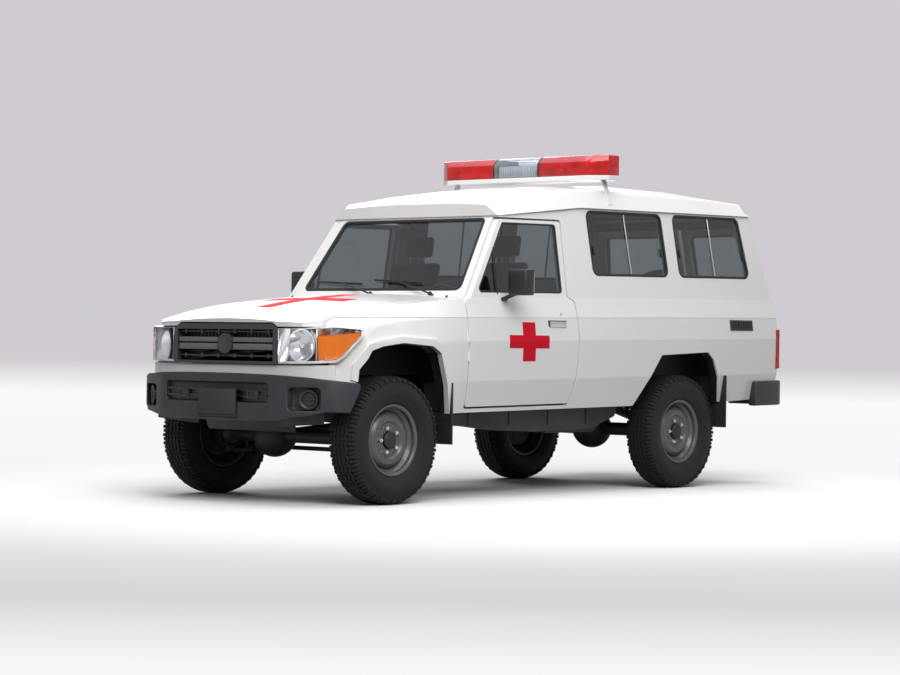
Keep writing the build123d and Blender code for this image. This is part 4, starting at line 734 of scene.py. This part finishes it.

# %% [markdown]
# ## Light bar
# The bar has thin acrylic lenses, red at both ends and clear in the middle, with lamps behind them. Each lens is the
# solid's own shape made hollow. The red lenses look paler where they face the sky, so a painted sky reflection, a pink
# that the normal's height mixes in, lightens their tops. Inside stand turning reflectors on a deck, and a louvred
# speaker in the middle.

# %% Painted sky reflection on the tops of the red lenses
tree = finishes["red_lens"].node_tree
shader = tree.nodes["Principled BSDF"]
upward = add(tree, "SeparateXYZ", {0: add(tree, "NewGeometry").outputs["Normal"]}).outputs["Z"]
# painted reflection of the sky: the more a lens faces up, the more pink goes in
painted_sky_share = add(tree, "MapRange", {"Value": upward, "From Min": 0.35, "From Max": 0.75, "To Max": 0.75})
side_colour = shader.inputs["Base Color"].links[0].from_socket
lens_colour = add(tree, "Mix", {0: painted_sky_share.outputs["Result"], 6: side_colour, 7: linear("#F2A3AF")},
                  data_type="RGBA")
tree.links.new(lens_colour.outputs[2], shader.inputs["Base Color"])
print("red lens nodes:", len(tree.nodes))

# %% Lenses
lenses = clean_copy("lightbar_lenses")
edit(lenses)
bpy.ops.mesh.separate(type="LOOSE")
leave()
for lens in list(bpy.context.selected_objects):
    middle = sum((vert.co.y for vert in lens.data.vertices)) / len(lens.data.vertices)
    rounded(lens, 0.006, 2, 25)
    shape(lens, "SOLIDIFY", thickness=0.0035, offset=-1)
    name, look = "lens_middle", clear_lens
    if abs(middle) > 0.1:
        name, look = "lens_left" if middle > 0 else "lens_right", finishes["red_lens"]
    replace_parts(settle(lens, name, "red_lens", finish=look), "lightbar_lenses")
    print("lens:", name)

# %% Dividers between the lenses
BAR_X = -0.430
BAR_HALF = 0.149
deck_z = lift(BAR_X, 2.088)
top_z = lift(BAR_X, 2.224)
dividers = []
for side in SIDES:
    wall = side_bar(side, (BAR_X - BAR_HALF, 0.191, deck_z), (BAR_X + BAR_HALF, 0.203, top_z - 0.001))
    for way in SIDES:
        edit(wall)
        bpy.ops.mesh.bisect(plane_co=(BAR_X + way * BAR_HALF, 0, top_z - 0.046), plane_no=(way, 0, 1),
                            use_fill=True, clear_outer=True)
        leave()
    dividers.append(rounded(wall, 0.002, 1))
settle(join(dividers), "lens_dividers", "black_plastic")
print("dividers:", len(dividers))

# %% Lamps and speaker inside the bar
BEACON = ((0.0001, 0.0), (0.050, 0.0), (0.050, 0.012), (0.030, 0.020), (0.018, 0.050), (0.024, 0.085), (0.0001, 0.090))
LOUVRES = 17
beacons = []
for y in (0.30, 0.43, 0.56, -0.30, -0.43, -0.56):
    beacon = spun(BEACON, 40)
    beacon.data.transform(Matrix.Translation((BAR_X + 0.02, y, deck_z + 0.006)) @ Matrix.Rotation(radians(90), 4, "X"))
    screen = bar((BAR_X - 0.055, y - 0.048, deck_z + 0.006), (BAR_X - 0.048, y + 0.048, deck_z + 0.100))
    rounded(screen, 0.004)
    beacons += [beacon, screen]
settle(join(beacons), "beacons", "lamp_glass", finish=chrome)
speaker = [bar((BAR_X - 0.10, -0.17, deck_z + 0.004), (BAR_X + 0.118, 0.17, deck_z + 0.082))]
for count in range(LOUVRES):
    y = (count - LOUVRES // 2) * 0.020
    speaker.append(bar((BAR_X + 0.112, y - 0.003, deck_z + 0.010), (BAR_X + 0.126, y + 0.003, deck_z + 0.076)))
settle(rounded(join(speaker), 0.0015, 1), "siren_speaker", "stretcher_tube")
print("light bar made")

# %% [markdown]
# ## Windscreen wipers and washers
# Each wiper is a pivot cap, a tapered arm and a thin blade that lies just off the glass. Both rest to the right.
# Straight strips between measured points are enough, because a blade at rest is nearly straight.


# %% Two wipers
SCREEN_FOOT = Vector((1.067, 0, 1.312))
SCREEN_NORMAL = Vector((0.82, 0, 0.572))
SCREEN_LEAN = 0.698
WIPERS = (
    # the pivot's side place, then where the blade starts and ends, as side place and height
    (0.484, (0.337, 1.354), (-0.081, 1.376)),
    (-0.030, (-0.176, 1.350), (-0.594, 1.366)),
)


def on_screen(y, z, stand):
    """Point at a height off the windscreen."""
    return Vector((SCREEN_FOOT.x - SCREEN_LEAN * (z - SCREEN_FOOT.z), y, z)) + SCREEN_NORMAL * stand


def strip(start, end, width, depth, tip=1.0):
    """Bar from one point to another, narrowed to a share of its width at the far end."""
    start, end = Vector(start), Vector(end)
    run = end - start
    piece = bar((-width / 2, -depth / 2, 0), (width / 2, depth / 2, run.length))
    edit(piece, "DESELECT")
    pick(piece, lambda vert: vert.co.z > run.length / 2, "verts")
    bpy.ops.transform.resize(value=(tip, tip, 1), center_override=(0, 0, run.length))
    leave()
    piece.data.transform(Matrix.Translation(start) @ run.to_track_quat("Z", "Y").to_matrix().to_4x4())
    return piece


wiper_parts = []
for pivot_y, blade_from, blade_to in WIPERS:
    pivot = Vector((1.128, pivot_y, 1.290))
    start, end = on_screen(*blade_from, 0.013), on_screen(*blade_to, 0.013)
    hold = start.lerp(end, 0.5) + SCREEN_NORMAL * 0.012
    off = SCREEN_NORMAL * 0.005
    wiper_parts += [
        drum(pivot - SCREEN_NORMAL * 0.020, pivot + SCREEN_NORMAL * 0.012, 0.014),
        strip(pivot + SCREEN_NORMAL * 0.006, hold, 0.016, 0.009, 0.6),
        strip(start.lerp(end, 0.2) + off, start.lerp(end, 0.8) + off, 0.010, 0.008),
        strip(start, end, 0.006, 0.014),
    ]
wipers = join(wiper_parts)
rounded(wipers, 0.0015)
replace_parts(settle(wipers, "wiper_arms", "black_plastic"), "wipers")
print("wipers:", len(WIPERS))

# %% Washer jets
washers = []
for side in SIDES:
    foot = Vector((1.200, side * 0.677, 1.262))
    washers += [drum(foot - Vector((0, 0, 0.008)), foot + Vector((0, 0, 0.006)), 0.013),
                strip(foot, foot + Vector((-0.016, 0, 0.018)), 0.014, 0.012, 0.7)]
settle(rounded(join(washers), 0.002), "washer_jets", "black_plastic", "bonnet")
print("washer jets made")

# %% [markdown]
# ## Side trim
# Sliding panes have a silver rail where they meet and two small latches each. The doors have a quarter light bar,
# a flap handle and a lock, and a slotted vent sits below the rearmost window. All start as bars on the line of the
# left side and are mirrored, because both sides are alike.


# %% Sliding window rails and latches
def glass_point(x, z, stand):
    """Point on the left side's windows, a little outside the pane."""
    return Vector((x, side_y(z) + stand - 0.010, lift(x, z)))


rails, latches = [], []
for x in (-0.575, -1.545):
    rails.append(strip(glass_point(x - 0.016, 1.428, 0.008), glass_point(x + 0.004, 1.828, 0.008), 0.014, 0.006))
for x in (-0.205, -0.955, -1.170, -1.945):
    latches.append(strip(glass_point(x, 1.548, 0.010), glass_point(x + 0.003, 1.606, 0.010), 0.026, 0.016, 0.8))
for pieces, name, slot in ((rails, "window_rails", "stretcher_tube"), (latches, "window_latches", "black_plastic")):
    print(name + ":", 2 * len(pieces))
    left = join(pieces)
    rounded(left, 0.0015)
    settle(mirrored(left), name, slot)

# %% Quarter light bars, handles and locks
HANDLE_X = (0.196, 0.362)
HANDLE_Z = (1.093, 1.130)
LOCK_X, LOCK_Z = 0.232, 1.176
handle_y, lock_y = side_y(1.09), side_y(LOCK_Z)
quarter = strip((0.842, 0.792, 1.290), (0.836, 0.746, 1.592), 0.018, 0.012)
on_both_sides(rounded(quarter, 0.003), "quarter_bar_", "rubber")
cup = bar((HANDLE_X[0] - 0.010, handle_y - 0.004, HANDLE_Z[0] - 0.006),
          (HANDLE_X[1] + 0.010, handle_y + 0.002, HANDLE_Z[1] + 0.006))
on_both_sides(rounded(cup, 0.0018), "handle_cup_", "black_plastic")
flap = bar((HANDLE_X[0], handle_y - 0.002, HANDLE_Z[0]), (HANDLE_X[1], handle_y + 0.011, HANDLE_Z[1]))
edit(flap, "DESELECT")
pick(flap, lambda edge: all(vert.co.y > handle_y and vert.co.z < HANDLE_Z[0] + 0.01 for vert in edge.verts), "edges")
bpy.ops.mesh.bevel(offset=0.008, segments=4)
leave()
on_both_sides(rounded(flap, 0.002), "handle_flap_", "stretcher_tube")
lock = drum((LOCK_X, lock_y - 0.006, LOCK_Z), (LOCK_X, lock_y + 0.008, LOCK_Z), 0.011)
sunk(lock, (0, 1, 0), 0.004, 0.002)
on_both_sides(lock, "lock_", "stretcher_tube")
print("door trim made on both sides")

# %% Slotted vents
VENT_X = (-1.936, -1.661)
VENT_Z = (1.094, 1.168)
VENT_LEAN = radians(6.4)
SLATS = 7
vent_y = side_y(1.085)
vent = bar((VENT_X[0], vent_y - 0.004, VENT_Z[0]), (VENT_X[1], vent_y + 0.006, VENT_Z[1]))
sunk(vent, (0, 1, 0), 0.012, 0.004)
rounded(vent, 0.004, 3)
slats = [vent]
for count in range(SLATS):
    x = VENT_X[0] + 0.012 + (VENT_X[1] - VENT_X[0] - 0.024) * (count + 1) / (SLATS + 1)
    slats.append(bar((x - 0.003, vent_y - 0.001, VENT_Z[0] + 0.010), (x + 0.003, vent_y + 0.005, VENT_Z[1] - 0.010)))
vent = join(slats)
vent_middle = Matrix.Translation((0, vent_y, sum(VENT_Z) / 2))
vent.data.transform(vent_middle @ Matrix.Rotation(VENT_LEAN, 4, "X") @ vent_middle.inverted())
settle(mirrored(vent), "side_vents", "black_plastic")
print("slats in a vent:", SLATS)

# %% [markdown]
# ## Mirrors and rear end
# The door mirrors get heads, arms and glass, and another mirror hangs behind the windscreen. The rear door has a
# handle and a blank plate holder. Bars with rounded edges do for all of these. The rear bumper's corners keep the
# solid's shape and get the round edges of a moulding.

# %% Mirror heads, arms and glass
head = bar((0.7605, 0.884, 1.288), (0.8530, 1.036, 1.452))
edit(head, "DESELECT")
pick(head, lambda face: face.normal.x > 0.9)
bpy.ops.mesh.inset(thickness=0.022)
leave()
moved(head, lambda vert: vert.co.x > 0.85 and not 0.90 < vert.co.y < 1.02, (-0.012, 0, 0))
rounded(head, 0.010, 3, 20)
mirror = join([
    head,
    drum((0.800, 0.801, 1.262), (0.808, 0.930, 1.300), 0.012),
    drum((0.764, 0.801, 1.260), (0.806, 0.915, 1.312), 0.009),
    strip((0.762, 0.803, 1.262), (0.806, 0.803, 1.262), 0.030, 0.010),
])
for piece, side in zip(on_both_sides(mirror, "mirror_head_", "black_plastic"), ("left", "right")):
    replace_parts(piece, "mirror_" + side)
pane = bar((0.7575, 0.892, 1.300), (0.7600, 1.030, 1.442))
edit(pane, "DESELECT")
pick(pane, lambda edge: abs(edge.verts[0].co.x - edge.verts[1].co.x) > 0.001, "edges")
bpy.ops.mesh.bevel(offset=0.016, segments=5)
leave()
on_both_sides(pane, "mirror_glass_", "lamp_glass", finish=chrome)
inner = bar((0.662, -0.198, 1.660), (0.684, 0.034, 1.728))
rounded(inner, 0.010, 4)
stem = strip((0.676, -0.082, 1.724), (0.716, -0.082, 1.770), 0.018, 0.014)
rounded(stem, 0.004)
settle(join([inner, stem]), "inner_mirror", "trim_grey")
print("mirrors made: 3")

# %% Rear door handle, plate holder and bumper corners
grip = [bar((-2.262, 0.150, 1.085), (-2.249, 0.262, 1.135)), bar((-2.286, 0.160, 1.100), (-2.262, 0.252, 1.120))]
edit(grip[1], "DESELECT")
pick(grip[1], lambda face: face.normal.x > 0.9)
bpy.ops.mesh.inset(thickness=0.004)
leave()
settle(rounded(join(grip), 0.004, 3), "rear_handle", "black_plastic", "rear_door_left")
holder = bar((-2.262, 0.190, 0.835), (-2.249, 0.600, 0.990))
sunk(holder, (-1, 0, 0), 0.014, 0.006)
settle(rounded(holder, 0.003), "plate_holder", "black_plastic", "rear_door_left")
corners = clean_copy("rear_bumpers")
rounded(corners, 0.012, 3, 30, False)
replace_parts(settle(corners, "rear_bumper_skins", "bumper_plastic", smooth=35), "rear_bumpers")
print("rear end made")

# %% [markdown]
# ## Painted shade under the body, and linings
# Dark sheets in chassis paint close what is dark under the sills and behind the front bumper: they are painted shade
# where the floor would show through. A black liner follows each wheel arch: a rubber lip at its edge and painted shade
# on the arch's inner wall. Inside, a headliner hides the bare roof and a rubber lip closes the slot above the rear
# doors. The curved ones are traced as a chain of edges and pulled to a sheet. The flat ones start as bars.

# %% Painted shade under the sills and the bumper: dark sheets and ribs
# painted shade: dark sheets in chassis paint hang under the sills where the shade under the body falls, with ribs
SHADE_SHEET = ((1.150, 0.470), (0.780, 0.430), (0.300, 0.410), (-0.300, 0.420), (-0.560, 0.500))
SHADE_SHEET_Y = 0.668
shade_sheets = []
for side in SIDES:
    outline = [(x, side * SHADE_SHEET_Y, z) for x, z in SHADE_SHEET]
    outline += [(x, side * SHADE_SHEET_Y, lift(x, 0.602)) for x in (-0.620, 1.150)]
    shade_sheet = trace([*outline, outline[0]])
    edit(shade_sheet)
    bpy.ops.mesh.remove_doubles(threshold=0.0001)
    bpy.ops.mesh.edge_face_add()
    bpy.ops.mesh.extrude_region_move(TRANSFORM_OT_translate={"value": (0, -side * 0.006, 0)})
    bpy.ops.mesh.select_all(action="SELECT")
    bpy.ops.mesh.normals_make_consistent()
    leave()
    shade_sheets.append(shade_sheet)
    for x in (0.95, 0.55, 0.15, -0.25):
        shade_sheets.append(side_bar(side, (x - 0.012, 0.660, 0.452), (x + 0.012, 0.6735, lift(x, 0.590))))
# painted shade behind the front bumper: a dark tray and two aprons hide the floor there
shade_tray = bar((2.280, -0.380, 0.430), (2.292, 0.380, 0.600))
shade_sheets.append(moved(shade_tray, lambda vert: vert.co.z < 0.5, (-0.080, 0, 0)))
for side in SIDES:
    shade_apron = side_bar(side, (2.318, 0.350, 0.466), (2.328, 0.720, 0.625))
    shade_sheets.append(moved(shade_apron, lambda vert: vert.co.z < 0.55 and abs(vert.co.y) > 0.5, (0, 0, 0.025)))
print("guards and ribs:", len(shade_sheets))
# the sheets, ribs, tray and aprons are all painted shade in chassis paint
settle(rounded(join(shade_sheets), 0.003), "painted_shade_sheets", "underbody")

# %% Headliner and the lip above the rear doors
LINER_Z = 1.854
LINER_X = (-1.975, 0.560)
front_z, rear_z = lift(LINER_X[1], LINER_Z), lift(LINER_X[0], LINER_Z)
liner = bar((LINER_X[0], -0.684, front_z), (LINER_X[1], 0.684, front_z + 0.010))
moved(liner, lambda vert: vert.co.x < -1, (0, 0, rear_z - front_z))
sunk(liner, (0, 0, -1), 0.060, 0.006)
settle(rounded(liner, 0.003), "headliner", "trim_grey")
seal = bar((-1.993, -0.655, 1.832), (-1.972, 0.655, 1.885))
sunk(seal, (0, 0, -1), 0.005, -0.006)
settle(rounded(seal, 0.003), "rear_header_seal", "rubber")
print("headliner and lip made")

# %% Black liners on the wheel arches: a rubber lip at the edge and painted shade on the inner wall
REAR_AXLE_X = -1.170
REAR_ARCH = ((0.601, 0.520), (0.314, 0.880), (-0.223, 0.895), (-0.298, 0.838), (-0.358, 0.720), (-0.405, 0.545))
FRONT_ARCH = ((-0.455, 0.560), (-0.417, 0.724), (-0.389, 0.800), (-0.346, 0.915), (-0.264, 0.958), (0.008, 0.979),
              (0.185, 0.960), (0.276, 0.935), (0.354, 0.822))
# each strip is a rubber lip at the arch's edge and painted shade over the arch's inner wall
arch_lip_and_shade_strips = []
for axle_x, arch in ((REAR_AXLE_X, REAR_ARCH), (FRONT_AXLE_X, FRONT_ARCH)):
    for side in SIDES:
        arch_lip_and_shade_strip = trace([(axle_x + x * 0.994, side * (side_y(z) - 0.010), lift(axle_x + x, z) - 0.003)
                             for x, z in arch])
        edit(arch_lip_and_shade_strip)
        bpy.ops.mesh.extrude_region_move(TRANSFORM_OT_translate={"value": (0, -side * 0.055, 0)})
        bpy.ops.mesh.select_all(action="SELECT")
        bpy.ops.mesh.solidify(thickness=0.002)
        bpy.ops.mesh.normals_make_consistent()
        leave()
        arch_lip_and_shade_strips.append(arch_lip_and_shade_strip)
settle(join(arch_lip_and_shade_strips), "arch_lips_and_painted_shade", "black_plastic")
print("arch liners:", len(arch_lip_and_shade_strips))

# %% [markdown]
# ## Red crosses
# The crosses are sheet vinyl, so they are cut flat, divided finely, pressed against the panel and given a little
# thickness. They move with the door or the bonnet that carries them.


# %% Cut and press on three crosses
def plus(length, height, stem, beam, cuts):
    """Flat cross: a plane whose four edges are pulled out, then divided."""
    bpy.ops.mesh.primitive_plane_add(size=1)
    piece = bpy.context.active_object
    piece.scale = (stem, beam, 1)
    bpy.ops.object.transform_apply()
    for x, y in ((1, 0), (-1, 0), (0, 1), (0, -1)):
        at = Vector((x * stem / 2, y * beam / 2, 0))
        edit(piece, "DESELECT")
        pick(piece, lambda part: ((part.verts[0].co + part.verts[1].co) / 2 - at).length < 0.0001, "edges")
        reach = (x * (length - stem) / 2, y * (height - beam) / 2, 0)
        bpy.ops.mesh.extrude_region_move(TRANSFORM_OT_translate={"value": reach})
        leave()
    edit(piece)
    bpy.ops.mesh.subdivide(number_cuts=cuts)
    bpy.ops.mesh.normals_make_consistent()
    leave()
    return piece


def press_on(piece, panel, axis, outward):
    """Presses a flat sheet on to a panel along one axis and gives it thickness."""
    settings = {"use_project_x": False, "use_project_y": axis == "Y", "use_project_z": axis == "Z"}
    shape(piece, "SHRINKWRAP", target=nodes[panel], wrap_method="PROJECT", wrap_mode="ABOVE_SURFACE", offset=0.0012,
          use_negative_direction=outward > 0, use_positive_direction=outward < 0, **settings)
    shape(piece, "SOLIDIFY", thickness=0.0008, offset=-1)
    settle(piece, "cross_" + panel, "red_lens", panel, red_vinyl)


DOOR_CROSS = (0.40, 0.25, 0.127, 0.083)
BONNET_CROSS = (0.80, 0.72, 0.14, 0.14)
upright = Matrix.Rotation(radians(90), 4, "X")
half_turn = Matrix.Rotation(pi, 4, "Z")
door_plus = plus(*DOOR_CROSS, 18)
press_on(copy_of(door_plus, Matrix.Translation((0.571, 0.90, 0.996)) @ half_turn @ upright), "door_left", "Y", 1)
press_on(copy_of(door_plus, Matrix.Translation((0.571, -0.90, 0.996)) @ upright), "door_right", "Y", -1)
bpy.data.objects.remove(door_plus)
bonnet_plus = plus(*BONNET_CROSS, 30)
bonnet_plus.data.transform(Matrix.Translation((1.750, 0.02, 1.45)))
press_on(bonnet_plus, "bonnet", "Z", 1)
print("crosses pressed on: 3")

# %% [markdown]
# ## Seats and mattress
# Foam under cloth swells between its seams. Each pad starts a little small, gets an even mesh, and is blown up as
# cloth for twenty frames. No point may move further than the swelling given, so the pad stays in its solid's room.


# %% Stuffed pads
CLOTH_FRAMES = 20


def stuffed(piece, voxel, swell):
    shape(piece, "REMESH", mode="VOXEL", voxel_size=voxel)
    before = [vert.co.copy() for vert in piece.data.vertices]
    work_on(piece)
    cloth = piece.modifiers.new("cloth", "CLOTH")
    cloth.settings.use_pressure = True
    cloth.settings.uniform_pressure_force = 4
    cloth.settings.effector_weights.gravity = 0
    cloth.point_cache.frame_end = CLOTH_FRAMES
    for number in range(1, CLOTH_FRAMES + 1):
        bpy.context.scene.frame_set(number)
    bpy.ops.object.modifier_apply(modifier=cloth.name)
    bpy.context.scene.frame_set(1)
    for vert, start in zip(piece.data.vertices, before):
        step = vert.co - start
        if step.length > swell:
            vert.co = start + step * (swell / step.length)
    shape(piece, "SMOOTH", factor=0.5, iterations=3)
    shape(piece, "SUBSURF", levels=1, render_levels=1)
    return piece


# %% Front seats
SEAT_FLOOR = 0.7455
SEAT_Y = 0.380


def seat_block(x_low, x_high, half, z_low, z_high):
    """Bar about the middle of the left seat, with heights above the floor."""
    return bar((x_low, SEAT_Y - half, SEAT_FLOOR + z_low), (x_high, SEAT_Y + half, SEAT_FLOOR + z_high))


cushion = seat_block(0.348, 0.786, 0.214, 0.092, 0.232)
rest = seat_block(0.360, 0.450, 0.204, 0.222, 0.778)
moved(rest, lambda vert: vert.co.z > SEAT_FLOOR + 0.5, (-0.112, 0, 0))
head = seat_block(0.250, 0.306, 0.116, 0.808, 0.948)
moved(head, lambda vert: vert.co.z > SEAT_FLOOR + 0.9, (-0.024, 0, 0))
pads = []
for block, cut in ((cushion, 0.040), (rest, 0.030), (head, 0.020)):
    rounded(block, cut, 3)
    pads.append(stuffed(block, 0.009, 0.010))
for piece in on_both_sides(join(pads), "seat_pads_", "seat_fabric", "body", smooth=60):
    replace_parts(piece, "front_seats")
plinth = seat_block(0.352, 0.776, 0.200, 0.004, 0.088)
moved(plinth, lambda vert: vert.co.x > 0.7 and vert.co.z < SEAT_FLOOR + 0.05, (-0.040, 0, 0))
on_both_sides(rounded(plinth, 0.010, 3), "seat_plinth_", "trim_grey", "body")
stays = join([drum((0.290, SEAT_Y + y, SEAT_FLOOR + 0.770), (0.284, SEAT_Y + y, SEAT_FLOOR + 0.830), 0.006, 12)
              for y in (-0.06, 0.06)])
settle(mirrored(stays), "headrest_stays", "stretcher_tube")
print("pads in a seat:", len(pads))

# %% Mattress
mattress = bar((-2.088, 0.072, 1.098), (-0.212, 0.488, 1.148))
moved(mattress, lambda vert: vert.co.x < -1, (0, 0, 0.026))
rounded(mattress, 0.018, 3)
stuffed(mattress, 0.012, 0.009)
settle(mattress, "mattress_pad", "mattress_vinyl", smooth=60)
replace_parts(mattress, "stretcher_mattress")
print("mattress faces:", len(mattress.data.polygons))

# %% [markdown]
# ## Stage, light and camera
# The picture is a studio one: pale floor, grey wall, broad soft light from above. The camera stands low in front of
# the left corner, far off, with a long lens.

# %% Camera from its measured place and turn
PICTURE_WIDTH, PICTURE_HEIGHT = 900, 675
FOCAL_PIXELS = 2562.0
SENSOR_MM = 36.0
CAMERA_PLACE = Vector((13.2327, 11.2343, 1.0006))
CAMERA_YAW = radians(-138.849)
CAMERA_PITCH = radians(0.056)
CAMERA_ROLL = radians(0.769)
forward = Vector((cos(CAMERA_PITCH) * cos(CAMERA_YAW), cos(CAMERA_PITCH) * sin(CAMERA_YAW), sin(CAMERA_PITCH)))
level_right = forward.cross(Vector((0, 0, 1))).normalized()
level_up = level_right.cross(forward)
right = level_right * cos(CAMERA_ROLL) + level_up * sin(CAMERA_ROLL)
up = level_up * cos(CAMERA_ROLL) - level_right * sin(CAMERA_ROLL)
turn = Matrix((right, up, -forward)).transposed().to_euler()
bpy.ops.object.camera_add(location=CAMERA_PLACE, rotation=turn)
camera = bpy.context.active_object
camera.data.sensor_width = SENSOR_MM
camera.data.lens = SENSOR_MM * FOCAL_PIXELS / PICTURE_WIDTH
camera.data.clip_end = 800
bpy.context.scene.camera = camera
print("lens in mm:", round(camera.data.lens, 2))

# %% [markdown]
# ### Floor and wall
# The floor is a pale sheet that takes the shadow near the vehicle. Far from it the sheet shows bands of light and
# fades into the wall's grey, so no horizon shows. Both look pale to the eye and in reflections, and throw less
# light back on the paint than they show, as a real studio with flagged lights does.


# %% Bands of light on the floor
def seen_ray(tree):
    """1 for rays that are looked along or mirrored, 0 for rays that only carry light."""
    path = add(tree, "LightPath")
    most = path.outputs["Is Camera Ray"]
    for kind in ("Is Glossy Ray", "Is Transmission Ray"):
        most = add(tree, "Math", {0: most, 1: path.outputs[kind]}, operation="MAXIMUM").outputs[0]
    return most


WALL_GREY = "#CFCBD0"
FLOOR_HALF = 400.0
EYE_HEIGHT = CAMERA_PLACE.z
BANDS = ((0.500, WALL_GREY), (0.535, WALL_GREY), (0.585, "#FBFAFB"), (0.700, "#F7F6F8"),
         (0.885, "#D8D5D9"), (0.985, "#F8F7F8"))
floor_finish = new_finish("Studio floor", "#F4F3F4", Roughness=0.9, Specular_IOR_Level=0.1)
tree = floor_finish.node_tree
seen = seen_ray(tree)
place = add(tree, "TexCoord").outputs["Object"]
along = add(tree, "VectorMath", {0: place, 1: forward}, operation="DOT_PRODUCT").outputs["Value"]
far = add(tree, "Math", {0: along, 1: -forward.dot(CAMERA_PLACE)}, operation="ADD").outputs[0]
slope = add(tree, "Math", {0: FOCAL_PIXELS * EYE_HEIGHT / PICTURE_HEIGHT, 1: far}, operation="DIVIDE").outputs[0]
band_place = add(tree, "Math", {0: slope, 1: 0.5}, operation="ADD").outputs[0]
bands = add(tree, "ValToRGB", {"Fac": band_place})
ramp = bands.color_ramp
for element, (position, colour) in zip(ramp.elements, (BANDS[0], BANDS[-1])):
    element.position, element.color = position, linear(colour)
for position, colour in BANDS[1:-1]:
    ramp.elements.new(position).color = linear(colour)
print("bands:", len(ramp.elements))

# %% Floor that fades into the bands
shader = tree.nodes["Principled BSDF"]
lit = add(tree, "Emission", {"Color": bands.outputs["Color"], "Strength": 1.0})
paint = add(tree, "Mix", {0: seen, 6: linear("#3A393C"), 7: linear("#F4F3F4")}, data_type="RGBA")
tree.links.new(paint.outputs[2], shader.inputs["Base Color"])
distance = add(tree, "VectorMath", {0: place}, operation="LENGTH").outputs["Value"]
beyond = add(tree, "MapRange", {"Value": distance, "From Min": 2.6, "From Max": 6.4}, interpolation_type="SMOOTHSTEP")
share = add(tree, "Math", {0: beyond.outputs["Result"], 1: seen}, operation="MULTIPLY").outputs[0]
mix = add(tree, "MixShader", {0: share, 1: shader.outputs["BSDF"], 2: lit.outputs["Emission"]})
tree.links.new(mix.outputs["Shader"], tree.nodes["Material Output"].inputs["Surface"])
bpy.ops.mesh.primitive_plane_add(size=2 * FLOOR_HALF, location=(0, 0, 0))
floor_piece = bpy.context.active_object
floor_piece.name = "studio_floor"
floor_piece.data.materials.append(floor_finish)
print("floor nodes:", len(tree.nodes))

# %% Wall
world = bpy.data.worlds.new("Studio")
bpy.context.scene.world = world
world.use_nodes = True
tree = world.node_tree
sky = tree.nodes["Background"]
sky.inputs["Color"].default_value = linear(WALL_GREY)
strength = add(tree, "MapRange", {"Value": seen_ray(tree), "To Min": 0.30, "To Max": 1.0})
tree.links.new(strength.outputs["Result"], sky.inputs["Strength"])
print("wall:", WALL_GREY)

# %% [markdown]
# ### Lamps
# Broad area lamps give the soft shadows of studio boxes. The strongest stands in front on the left, on the
# side that the camera sees. One hangs overhead, and one behind on the right keeps the far side from going black.

# %% Soft lamps
LAMPS = (
    # name, place, target, size, power in watts
    ("overhead", (0, 0.6, 6.5), (0, 0, 0), (9, 6), 400),
    ("front_left", (6, 7.5, 7.2), (0.3, 0, 1), (8, 5), 900),
    ("rear_right", (-6, -7.5, 6), (-0.3, 0, 1), (7, 4), 420),
)
for name, place, target, lamp_size, power in LAMPS:
    bpy.ops.object.light_add(type="AREA", location=place)
    lamp = bpy.context.active_object
    lamp.name = name
    lamp.data.shape = "RECTANGLE"
    lamp.data.size, lamp.data.size_y = lamp_size
    lamp.data.energy = power
    lamp.rotation_euler = (Vector(target) - Vector(place)).to_track_quat("-Z", "Y").to_euler()
bpy.context.scene.view_settings.view_transform = "Standard"
print("lamps:", len(LAMPS))
